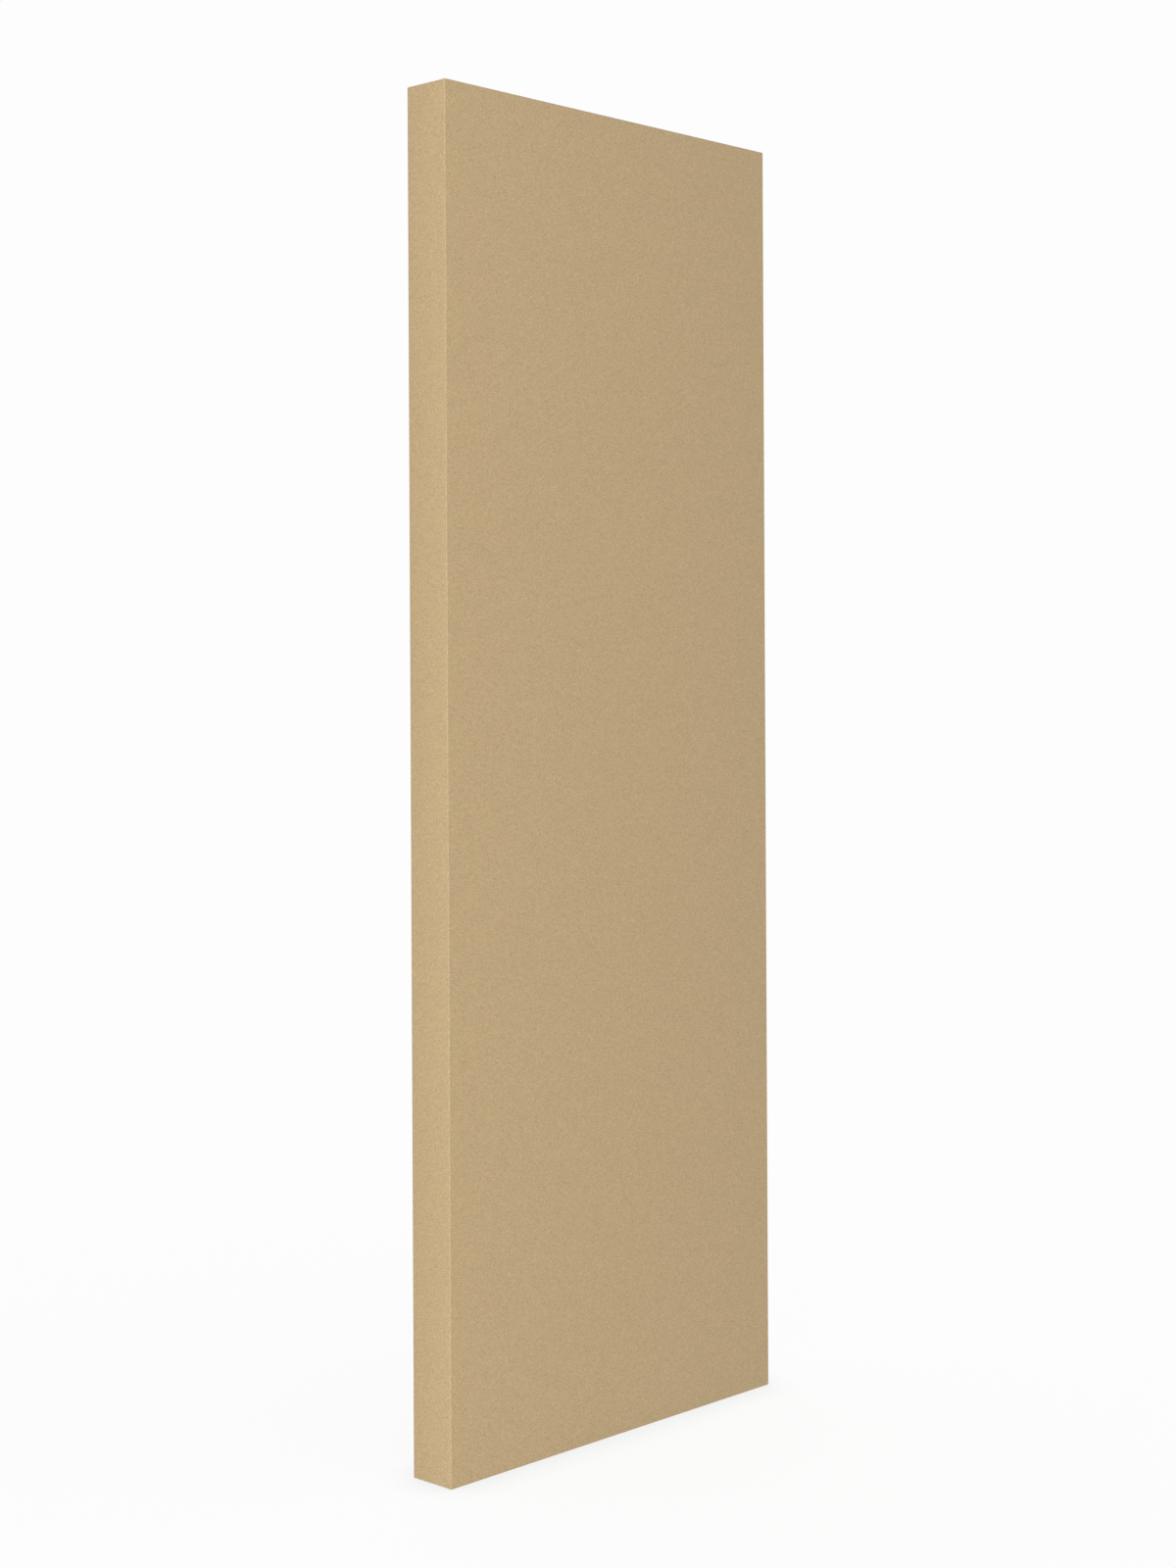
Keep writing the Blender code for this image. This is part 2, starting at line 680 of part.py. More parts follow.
def bumper_profile(floor):
    """Half of a bumper: a tapered side, a rounded edge, and a counterbore down to its floor."""
    foot = BUMPER_DIAMETER / 2
    bore = BUMPER_SCREW_DIAMETER / 2 + GAP
    well = COUNTERBORE_DIAMETER / 2
    centre = foot - BUMPER_TAPER - BUMPER_ROUNDING
    shoulder = BUMPER_HEIGHT - BUMPER_ROUNDING
    side = [(bore, 0.0), (foot, 0.0)]
    for step in range(ARRIS_STEPS + 1):
        angle = step / ARRIS_STEPS * math.pi / 2
        out = BUMPER_ROUNDING * math.cos(angle)
        up = BUMPER_ROUNDING * math.sin(angle)
        side.append((centre + out, shoulder + up))
    return side + [(well, BUMPER_HEIGHT), (well, floor), (bore, floor), (bore, 0.0)]


def make_bumpers(finish, screw_finish, stiles, sheets):
    """Four turned rubber bumpers near the corners, each held by a screw in its counterbore."""
    floor = BUMPER_HEIGHT - COUNTERBORE_DEPTH
    profile = bumper_profile(floor)
    for side, sign in SIDES.items():
        for end, height in (
            ("bottom", FRAME_BOTTOM + BUMPER_INSET),
            ("top", FRAME_TOP - BUMPER_INSET),
        ):
            x = sign * BUMPER_CENTRE
            bumper = turned(f"wall_bumper_{end}_{side}", profile, BUMPER_SIDES, finish)
            smooth(place(bumper, (x, HARDWARE_SEAT, height), (0, -1, 0)))

            name = f"bumper_screw_{end}_{side}"
            point = (x, HARDWARE_SEAT + floor + GAP, height)
            shape = pan_profile(
                BUMPER_SCREW_DIAMETER, BUMPER_SCREW_HEAD, BUMPER_SCREW_HEAD_HEIGHT, BUMPER_SCREW_LENGTH
            )
            screw = turned(name, shape, SCREW_SIDES, screw_finish)
            smooth(place(screw, point, (0, -1, 0)))
            add_recess(screw, BUMPER_SCREW_HEAD, BUMPER_SCREW_HEAD_HEIGHT)
            hole_shape = hole_profile(BUMPER_SCREW_DIAMETER, BUMPER_SCREW_LENGTH)
            hole = as_cutter(turned("hole_of_" + name, hole_shape, SCREW_SIDES))
            place(hole, point, (0, -1, 0))
            for piece in (stiles[side], *sheets):
                cut_from(piece, hole)


def build():
    clear_scene()
    cloth = material("camel_cloth", (0.49, 0.36, 0.20), 0.95)
    fleece = material("white_fleece", (0.78, 0.78, 0.75), 0.95)
    wool = material("mineral_wool", (0.42, 0.40, 0.20), 1.0)
    timber = material("pine", (0.66, 0.46, 0.26), 0.6)
    plywood = material("birch_plywood", (0.70, 0.54, 0.34), 0.6)
    backing = material("black_backing", (0.02, 0.02, 0.022), 0.95)
    zinc = material("zinc_plate", (0.62, 0.63, 0.64), 0.35, 1.0)
    yellow_zinc = material("yellow_zinc", (0.72, 0.56, 0.26), 0.35, 1.0)
    rubber = material("black_rubber", (0.03, 0.03, 0.03), 0.7)

    slab = make_slab(wool)
    make_fleece(fleece)
    stiles = {side: make_stile(side, timber) for side in SIDES}
    rails = {end: make_rail(end, timber) for end in ("bottom", "top")}
    braces = {level: make_brace(level, plywood) for level in BRACE_HEIGHTS}
    cut_rebates(stiles.values())
    cut_notches(stiles.values(), slab)
    make_corner_screws(yellow_zinc, stiles, rails)
    make_brace_screws(yellow_zinc, stiles, braces)

    cover = make_cover(cloth)
    dust_cover = make_dust_cover(backing)
    for side in SIDES:
        strap = make_strap(side, zinc)
        make_ring(side, zinc)
        make_hanger_screws(side, zinc, (strap, dust_cover, cover, stiles[side]))
    make_bumpers(rubber, zinc, stiles, (dust_cover, cover))


build()
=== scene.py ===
"""Looks of the cloth-covered acoustic panel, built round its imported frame.

Metres, +Z up. The panel stands on its bottom edge with its front towards -Y.
"""

import json
import math
import random

import bmesh
import bpy
from mathutils import Matrix, Vector


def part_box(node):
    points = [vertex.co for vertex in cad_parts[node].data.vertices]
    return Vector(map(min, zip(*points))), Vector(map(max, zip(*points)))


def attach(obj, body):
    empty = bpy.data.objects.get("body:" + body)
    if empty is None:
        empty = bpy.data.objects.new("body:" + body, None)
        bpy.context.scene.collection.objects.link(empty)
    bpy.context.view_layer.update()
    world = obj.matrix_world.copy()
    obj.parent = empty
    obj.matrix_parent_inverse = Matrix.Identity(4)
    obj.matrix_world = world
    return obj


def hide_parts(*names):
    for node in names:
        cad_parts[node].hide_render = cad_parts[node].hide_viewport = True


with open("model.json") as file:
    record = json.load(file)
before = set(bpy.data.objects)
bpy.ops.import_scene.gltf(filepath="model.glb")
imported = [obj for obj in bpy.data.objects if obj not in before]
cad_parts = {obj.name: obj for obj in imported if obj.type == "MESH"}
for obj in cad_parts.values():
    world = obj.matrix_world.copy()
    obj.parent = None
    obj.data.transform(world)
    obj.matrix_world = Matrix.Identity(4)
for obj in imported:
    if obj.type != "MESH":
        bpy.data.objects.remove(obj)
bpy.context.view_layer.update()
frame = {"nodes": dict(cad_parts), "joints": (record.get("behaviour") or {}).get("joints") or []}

# Stiles and rails: planed pine, 18 mm thick, that makes the frame round the slab.
# The rails' ends sit in rebates in the stiles, glued and screwed, and the outer arrises are eased.
MM = 0.001
RING_SPACING = 3.4 * MM
RING_SWAY = 5.0
LATE_WOOD = 0.8
FIBRE_STRETCH = 0.03
PITHS = {
    "stile_left": (-0.245, -0.031, 0.0),
    "stile_right": (0.262, -0.031, 0.0),
    "rail_bottom": (0.0, -0.027, -0.028),
    "rail_top": (0.0, -0.027, 1.205),
}
PINE_LIGHT = (0.66, 0.45, 0.25, 1)
PINE_DARK = (0.42, 0.23, 0.10, 1)
PINE_FIBRE = (0.52, 0.33, 0.17, 1)


class Shade:
    """A socket of a finish's nodes. Arithmetic on it adds Math nodes."""

    def __init__(self, tree, socket=None):
        self.tree = tree
        self.socket = socket

    def node(self, kind, settings=None, inputs=None, output=0):
        """Adds a node, sets it up, then fills its sockets with values or links."""
        made = self.tree.nodes.new(kind)
        for name, value in (settings or {}).items():
            setattr(made, name, value)
        for name, value in (inputs or {}).items():
            if isinstance(value, Shade):
                self.tree.links.new(value.socket, made.inputs[name])
            else:
                made.inputs[name].default_value = value
        return Shade(self.tree, made.outputs[output] if made.outputs else None)

    def other(self, output):
        """Another output of the node that this one comes from."""
        return Shade(self.tree, self.socket.node.outputs[output])

    def math(self, operation, *values):
        return self.node("ShaderNodeMath", {"operation": operation}, dict(enumerate(values)))

    def __add__(self, other):
        return self.math("ADD", self, other)

    def __sub__(self, other):
        return self.math("SUBTRACT", self, other)

    def __rsub__(self, other):
        return self.math("SUBTRACT", other, self)

    def __mul__(self, other):
        return self.math("MULTIPLY", self, other)

    def __truediv__(self, other):
        return self.math("DIVIDE", self, other)

    def __mod__(self, other):
        return self.math("FLOORED_MODULO", self, other)

    def __pow__(self, other):
        return self.math("POWER", self, other)

    __radd__ = __add__
    __rmul__ = __mul__


def new_finish(name):
    """An empty finish, and the place on the piece that its patterns start from."""
    made = bpy.data.materials.new(name)
    made.use_nodes = True
    made.node_tree.nodes.clear()
    return made, Shade(made.node_tree).node("ShaderNodeTexCoord", output="Object")


def stretched(place, scale, move=(0, 0, 0)):
    """The place, with each axis scaled by its own amount and then moved."""
    return place.node("ShaderNodeMapping", inputs={0: place, "Location": move, "Scale": scale})


def noise(place, scale, detail=2.0, rough=0.5):
    """Soft random values round one half."""
    sizes = {"Vector": place, "Scale": scale, "Detail": detail, "Roughness": rough}
    return place.node("ShaderNodeTexNoise", inputs=sizes)


def blend(share, low, high):
    """A colour between two, by a share."""
    return share.node("ShaderNodeMix", {"data_type": "RGBA"}, {0: share, 6: low, 7: high}, 2)


def toned(colour, tone):
    """A colour made lighter or darker by a factor."""
    return tone.node("ShaderNodeVectorMath", {"operation": "SCALE"}, {0: colour, "Scale": tone})


def shaded(colour, roughness, height, relief, **constant):
    """Ends a finish: its colour, roughness and relief, and what is the same all over it."""
    bump = {"Strength": 1.0, "Distance": relief, "Height": height}
    normal = height.node("ShaderNodeBump", inputs=bump)
    inputs = {"Base Color": colour, "Roughness": roughness, "Normal": normal}
    for name, value in constant.items():
        inputs[name.replace("_", " ")] = value
    shader = height.node("ShaderNodeBsdfPrincipled", inputs=inputs)
    height.node("ShaderNodeOutputMaterial", inputs={"Surface": shader})


def pine(name, length_axis, pith):
    """Planed pine. Its growth rings run round a pith line that lies beside the board."""
    made, place = new_finish(name)
    along = [1.0, 1.0, 1.0]
    along[length_axis] = FIBRE_STRETCH
    across = [1.0, 1.0, 1.0]
    across[length_axis] = 0.0
    grain = stretched(place, along)
    sway = noise(grain, 22.0)
    from_pith = stretched(place, across, -Vector(pith))
    distance = from_pith.node("ShaderNodeVectorMath", {"operation": "LENGTH"}, {0: from_pith}, "Value")
    ring = (distance / RING_SPACING + sway * RING_SWAY) % 1.0
    late = ring ** 4.0
    fibre = noise(grain, 2600.0, 3.0)
    wood = blend(late * LATE_WOOD, blend(fibre, PINE_LIGHT, PINE_FIBRE), PINE_DARK)
    shaded(wood, 0.5 + fibre * 0.2, late + fibre, 0.1 * MM, Specular_IOR_Level=0.35)
    return made


def dress_node(name, finish):
    """Gives a CAD node that stays its finish."""
    node = frame["nodes"][name]
    node.data.materials.clear()
    node.data.materials.append(finish)


for board, board_pith in PITHS.items():
    board_axis = 2 if board.startswith("stile") else 0
    dress_node(board, pine("pine_" + board, board_axis, board_pith))

# Wood screws: cold-headed steel with a rolled thread and a cross recess.
# Yellow-passivated countersunk ones hold the corners and the braces.
# Zinc-plated pan-head ones hold the hangers and the bumpers.
CORNER_SCREW = {"head": 7.6 * MM, "shank": 4.0 * MM, "length": 40 * MM}
THREAD_PITCH = 1.3 * MM
THREAD_HEIGHT = 0.25 * MM
THREAD_STEPS = 14
THREAD_START = 0.2
SCREW_SIDES = 24
SCREW_RIM = 0.4 * MM
SCREW_TIP = 1.3
TIP_SHARE = 0.08
PAN_ROUNDING = 0.72
CROSS_WIDTH = 0.13
CROSS_DEPTH = 0.32
CROSS_ARM = 0.25
CROSS_TAPER = 0.45
YELLOW_LIGHT = (0.80, 0.64, 0.30, 1)
YELLOW_PINK = (0.66, 0.47, 0.30, 1)


def newest(name, size=(1, 1, 1)):
    """Names the object that was just added, sizes it, and moves its place into its mesh."""
    made = bpy.context.active_object
    made.name = made.data.name = name
    made.scale = size
    bpy.ops.object.transform_apply(location=True, rotation=True, scale=True)
    return made


def only(made):
    """Makes an object the one that is selected and active."""
    bpy.ops.object.select_all(action="DESELECT")
    made.select_set(True)
    bpy.context.view_layer.objects.active = made


def edit(made):
    only(made)
    bpy.ops.object.mode_set(mode="EDIT")


def leave_edit():
    bpy.ops.object.mode_set(mode="OBJECT")


def choose(made, kind, test):
    """In edit mode, selects only the faces, edges or vertices that pass a test."""
    bpy.ops.mesh.select_mode(type=kind)
    bpy.ops.mesh.select_all(action="DESELECT")
    bm = bmesh.from_edit_mesh(made.data)
    for part in {"VERT": bm.verts, "EDGE": bm.edges, "FACE": bm.faces}[kind]:
        part.select_set(test(part))
    bmesh.update_edit_mesh(made.data)


def extrude(move):
    bpy.ops.mesh.extrude_region_move(TRANSFORM_OT_translate={"value": move})


def modify(made, kind, **settings):
    """Adds a modifier and applies it."""
    only(made)
    modifier = made.modifiers.new(kind.lower(), kind)
    for name, value in settings.items():
        setattr(modifier, name, value)
    bpy.ops.object.modifier_apply(modifier=modifier.name)


def soften(made, degrees):
    """Shades smooth, apart from edges sharper than this."""
    only(made)
    bpy.ops.object.shade_smooth_by_angle(angle=math.radians(degrees))


def put(made, finish, slot, body, *nodes):
    """Gives a piece its finish and its body, and hides the CAD nodes that it stands for."""
    made.data.materials.clear()
    made.data.materials.append(finish)
    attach(made, body)
    if nodes:
        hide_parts(*nodes)


def plated(name, light, dull, roughness):
    """Electroplated steel, a little cloudy, with fine rub marks."""
    made, place = new_finish(name)
    cloud = noise(place, 260.0, 3.0)
    rub = noise(stretched(place, (1.0, 1.0, 0.2)), 5200.0)
    colour = blend(cloud, light, dull)
    shaded(colour, roughness + cloud * 0.12 + rub * 0.1, rub + cloud, 0.02 * MM, Metallic=1.0)
    return made


def thread(radius, top, bottom):
    """The ridge of a rolled thread between two heights."""
    turns = int((top - bottom) / THREAD_PITCH)
    bpy.ops.mesh.primitive_circle_add(
        vertices=3,
        radius=2 * THREAD_HEIGHT,
        location=(radius - 0.4 * THREAD_HEIGHT, 0, top),
        rotation=(math.pi / 2, 0, 0),
    )
    ridge = newest("thread")
    modify(
        ridge,
        "SCREW",
        axis="Z",
        angle=math.tau,
        screw_offset=-THREAD_PITCH,
        iterations=turns,
        steps=THREAD_STEPS,
        render_steps=THREAD_STEPS,
        use_merge_vertices=False,
    )
    edit(ridge)
    bpy.ops.mesh.select_all(action="SELECT")
    bpy.ops.mesh.fill_holes(sides=0)
    bpy.ops.mesh.normals_make_consistent(inside=False)
    leave_edit()
    return ridge


def cross_cutter(head, top):
    """The tapered cross that the punch leaves in a screw's head."""
    width = CROSS_WIDTH * head
    depth = CROSS_DEPTH * head
    bpy.ops.mesh.primitive_cube_add(size=1, location=(0, 0, top - depth / 4))
    cross = newest("cross", (width, width, depth * 1.5))
    edit(cross)
    choose(cross, "FACE", lambda face: abs(face.normal.z) < 0.5)
    bpy.ops.mesh.extrude_faces_move(TRANSFORM_OT_shrink_fatten={"value": CROSS_ARM * head})
    choose(cross, "VERT", lambda vert: vert.co.z < top - depth / 4)
    bpy.ops.transform.resize(value=(CROSS_TAPER, CROSS_TAPER, 1), center_override=(0, 0, 0))
    leave_edit()
    return cross


def wood_screw(name, head, shank, length, pan_height=0.0):
    """A screw that points down -Z, with the plane where its head seats, or ends if sunk, at z = 0."""
    height = pan_height or SCREW_RIM
    flare = (head - shank) / 2
    tip = SCREW_TIP * shank
    bpy.ops.mesh.primitive_cylinder_add(
        vertices=SCREW_SIDES, radius=head / 2, depth=height, location=(0, 0, pan_height - height / 2)
    )
    screw = newest(name)
    edit(screw)
    if pan_height:
        near_top = pan_height - SCREW_RIM / 4
        choose(screw, "EDGE", lambda edge: all(vert.co.z > near_top for vert in edge.verts))
        bpy.ops.mesh.bevel(offset=PAN_ROUNDING * pan_height, segments=5, profile=0.5)
    choose(screw, "FACE", lambda face: face.normal.z < -0.9)
    if pan_height:
        shank_top = 0.0
        bpy.ops.mesh.inset(thickness=flare)
    else:
        shank_top = -SCREW_RIM - flare
        extrude((0, 0, -flare))
        bpy.ops.transform.resize(value=(shank / head, shank / head, 1))
    extrude((0, 0, tip - length - shank_top))
    extrude((0, 0, -tip))
    bpy.ops.transform.resize(value=(TIP_SHARE, TIP_SHARE, 1))
    leave_edit()
    cross = cross_cutter(head, pan_height)
    modify(screw, "BOOLEAN", operation="DIFFERENCE", solver="EXACT", object=cross)
    bpy.data.objects.remove(cross)
    ridge = thread(shank / 2, shank_top - THREAD_START * length, tip - length)
    only(ridge)
    screw.select_set(True)
    bpy.context.view_layer.objects.active = screw
    bpy.ops.object.join()
    soften(screw, 30)
    return screw


def copy_to(model, name, place):
    """A copy of a model with its own mesh, with its place in that mesh."""
    made = bpy.data.objects.new(name, model.data.copy())
    bpy.context.scene.collection.objects.link(made)
    made.data.name = name
    made.data.transform(place)
    return made


def drive_screws(prefix, finish, slot, sizes):
    """Makes one screw, and sets a copy of it where each CAD screw with this prefix is."""
    model = wood_screw(prefix + "_model", **sizes)
    for name in sorted(frame["nodes"]):
        if not name.startswith(prefix):
            continue
        low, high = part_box(name)
        centre = (low + high) / 2
        size = high - low
        if size.x > size.y:
            outward = Vector((math.copysign(1.0, centre.x), 0, 0))
        else:
            outward = Vector((0, 1, 0))
        seat = Matrix.Translation(centre + outward * (max(size) / 2 - sizes.get("pan_height", 0.0)))
        turn = Vector((0, 0, 1)).rotation_difference(outward).to_matrix().to_4x4()
        twist = Matrix.Rotation(random.uniform(0, math.pi / 2), 4, "Z")
        screw = copy_to(model, name + "_driven", seat @ turn @ twist)
        put(screw, finish, slot, "panel", name)
    bpy.data.objects.remove(model)


random.seed(11)
yellow_zinc = plated("yellow_zinc_plate", YELLOW_LIGHT, YELLOW_PINK, roughness=0.28)
drive_screws("corner_screw", yellow_zinc, "yellow_zinc", CORNER_SCREW)

# Absorber slab: resin-bonded mineral wool, 45 mm thick, cut to a push fit inside the frame.
# It lies flush with the frame's rear and is pressed in where the two braces cross it.
WOOL_PALE = (0.50, 0.47, 0.24, 1)
WOOL_DARK = (0.27, 0.25, 0.11, 1)
WOOL_CORNER = 1.2 * MM
CHANNEL_GAP = 0.3 * MM


def mineral_wool(name):
    """Matted fibres that lie in layers across the slab's thickness."""
    made, place = new_finish(name)
    layers = noise(stretched(place, (1.0, 4.0, 1.0)), 55.0, 6.0, 0.65)
    fibres = noise(stretched(place, (1.0, 3.0, 0.35)), 1400.0, 4.0, 0.7)
    tufts = noise(place, 240.0, 5.0, 0.6)
    share = layers * 0.5 + fibres * 0.5
    colour = toned(blend(share, WOOL_DARK, WOOL_PALE), 0.7 + tufts * 0.6)
    shaded(colour, 0.95 + tufts * 0.05, fibres + tufts, 0.9 * MM, Specular_IOR_Level=0.2)
    return made


low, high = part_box("absorber_slab")
bpy.ops.object.select_all(action="DESELECT")
bpy.ops.mesh.primitive_cube_add(size=1, location=(low + high) / 2)
slab = newest("mineral_wool_slab", high - low)
edit(slab)
for brace in ("brace_lower", "brace_upper"):
    brace_low, brace_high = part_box(brace)
    channel_low = brace_low.z - CHANNEL_GAP
    channel_high = brace_high.z + CHANNEL_GAP
    for height in (channel_low, channel_high):
        bpy.ops.mesh.select_all(action="SELECT")
        bpy.ops.mesh.bisect(plane_co=(0, 0, height), plane_no=(0, 0, 1))

    def behind_brace(face):
        return face.normal.y > 0.5 and channel_low < face.calc_center_median().z < channel_high

    choose(slab, "FACE", behind_brace)
    extrude((0, brace_low.y - CHANNEL_GAP - high.y, 0))
bpy.ops.mesh.select_all(action="SELECT")
bpy.ops.mesh.remove_doubles(threshold=0.01 * MM)
bpy.ops.mesh.dissolve_limited(angle_limit=math.radians(1))
leave_edit()
modify(slab, "BEVEL", width=WOOL_CORNER, segments=2, limit_method="ANGLE")
soften(slab, 40)
put(slab, mineral_wool("mineral_wool_fibre"), "mineral_wool", "panel", "absorber_slab")

# Fleece: a white glass-fibre tissue, cut to the slab's face and laid on it.
# It keeps loose fibres off the cloth and lies flush with the frame's front edges.
FLEECE_WHITE = (0.80, 0.80, 0.77, 1)
FLEECE_GREY = (0.62, 0.62, 0.60, 1)
FLEECE_CELL = 20 * MM


def glass_tissue(name):
    """Random swirls of fine white fibre."""
    made, place = new_finish(name)
    swirl = noise(place, 120.0, 3.0)
    fibre = noise(stretched(place, (1.0, 1.0, 0.3)), 2400.0, 4.0, 0.7)
    crossing = noise(stretched(place, (0.3, 1.0, 1.0)), 2100.0, 4.0, 0.7)
    web = fibre * crossing * 2.0
    shaded(blend(web, FLEECE_GREY, FLEECE_WHITE), 0.85 + swirl * 0.1, web + swirl, 0.2 * MM)
    return made


low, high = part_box("front_fleece")
fleece_size = (high.x - low.x, high.z - low.z)
thickness = high.y - low.y
bpy.ops.object.select_all(action="DESELECT")
bpy.ops.mesh.primitive_grid_add(
    x_subdivisions=round(fleece_size[0] / FLEECE_CELL),
    y_subdivisions=round(fleece_size[1] / FLEECE_CELL),
    size=1,
    location=(low + high) / 2,
    rotation=(math.pi / 2, 0, 0),
)
fleece = newest("glass_fleece", (*fleece_size, 1))
modify(fleece, "SOLIDIFY", thickness=thickness, offset=0.0)
modify(fleece, "BEVEL", width=thickness / 4, segments=2, limit_method="ANGLE")
soften(fleece, 40)
put(fleece, glass_tissue("glass_tissue"), "white_fleece", "panel", "front_fleece")

# Braces: two slats of 5.5 mm birch plywood, let into notches across the stiles' rear edges.
# They keep the stiles straight under the cloth's pull, and each end has two countersunk screws.
BRACE_SCREW = {"head": 5.8 * MM, "shank": 3.0 * MM, "length": 16 * MM}
VENEER = 1.1 * MM
BIRCH_LIGHT = (0.74, 0.58, 0.38, 1)
BIRCH_DARK = (0.60, 0.43, 0.25, 1)


def birch_plywood(name, face_depth):
    """Five veneers, each with its grain across the next one's."""
    made, place = new_finish(name)
    depth = place.node("ShaderNodeSeparateXYZ", inputs={0: place}, output="Y")
    # The face itself belongs to the first veneer, however its depth is rounded.
    ply = depth.math("FLOOR", (face_depth - depth) / VENEER + 0.01)
    crossed = ply % 2.0
    long_grain = noise(stretched(place, (0.04, 1.0, 1.0)), 900.0, 4.0, 0.6)
    cross_grain = noise(stretched(place, (1.0, 1.0, 0.04)), 900.0, 4.0, 0.6)
    grain = long_grain * (1.0 - crossed) + cross_grain * crossed
    figure = noise(stretched(place, (0.15, 1.0, 1.0)), 60.0, 3.0)
    share = grain * 0.7 + figure * 0.3 + crossed * 0.25 - 0.1
    shaded(blend(share, BIRCH_LIGHT, BIRCH_DARK), 0.5 + grain * 0.2, grain, 0.08 * MM)
    return made


rear_of_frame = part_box("brace_lower")[1].y
for level in ("lower", "upper"):
    dress_node("brace_" + level, birch_plywood("birch_plywood_" + level, rear_of_frame))
drive_screws("brace_screw", yellow_zinc, "yellow_zinc", BRACE_SCREW)

# Cloth cover: one piece of camel-coloured plain-weave upholstery cloth, stretched over the front.
# It is pulled round the frame's edges, folded flat at the corners, turned in 30 mm behind and stapled.
CLOTH = 0.8 * MM
CLOTH_TURN = 30 * MM
CLOTH_ARRIS = 1.0 * MM
FOLD_INSET = 3.5 * MM
FOLD_STEP = 0.3 * MM
FOLD_RISE = 0.5 * MM
FOLD_SINK = 0.3 * MM
FOLD_SLIT = 0.5 * MM
FOLD_REACH = 24 * MM
FOLD_START = 6 * MM
CLOTH_CELL = 26 * MM
CLOTH_COLOUR = (0.3455, 0.250, 0.1318, 1)
# Paler along the arrises: cloth rubbed at the edges, together with a painted highlight.
CLOTH_RUBBED_AND_HIGHLIT = (0.358, 0.271, 0.163, 1)
CLOTH_TONE = 0.97
# Painted shade: the cloth's colour is made darker towards its back edge.
REARWARD_PAINTED_SHADE = 0.09
YARN_SPACING = 1.0 * MM
YARN_SWAY = 0.9 * MM
YARN_RELIEF = 0.14 * MM
YARN_ENDS = 0.4
YARN_APART = 7.31
TWIST_ALONG = 1.5
TWIST_ACROSS = 2.6
TWIST_SHADE = 0.05
# Painted shade: the hollows between yarns are darkened and their crowns lightened.
HOLLOW_PAINTED_SHADE = 0.22
SLUB_SHADE = 0.06
HEATHER = 1.1
SHADES_ALONG = 0.8


def ease(share):
    """A share from 0 to 1 that starts and ends gently."""
    share = min(max(share, 0.0), 1.0)
    return share * share * (3 - 2 * share)


def slice_across(axis, places, test=lambda face: True):
    """In edit mode, cuts the faces that pass a test at each of these places along an axis."""
    normal = Vector((0, 0, 0))
    normal[axis] = 1.0
    for place in places:
        choose(bpy.context.active_object, "FACE", test)
        bpy.ops.mesh.bisect(plane_co=normal * place, plane_no=normal)


def even_places(low, high, cell):
    """Places that divide a length into equal cells."""
    count = max(round((high - low) / cell), 1)
    return [low + (high - low) * step / count for step in range(1, count)]


def along_arrises(place, low, high, radius):
    """1 along the middle of a box's rounded arrises, and 0 on its flats."""
    shares = []
    for axis, name in enumerate("XYZ"):
        at = place.node("ShaderNodeSeparateXYZ", inputs={0: place}, output=name)
        from_middle = at.math("ABSOLUTE", at - (low[axis] + high[axis]) / 2)
        beyond_face = from_middle - (high[axis] - low[axis]) / 2
        shares.append(at.math("MAXIMUM", beyond_face / radius + 1.0, 0.0))
    x, y, z = shares
    return (x * y + y * z + z * x) * 2.0


cover_low, cover_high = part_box("fabric_cover")
cover_depth = cover_high.y - cover_low.y


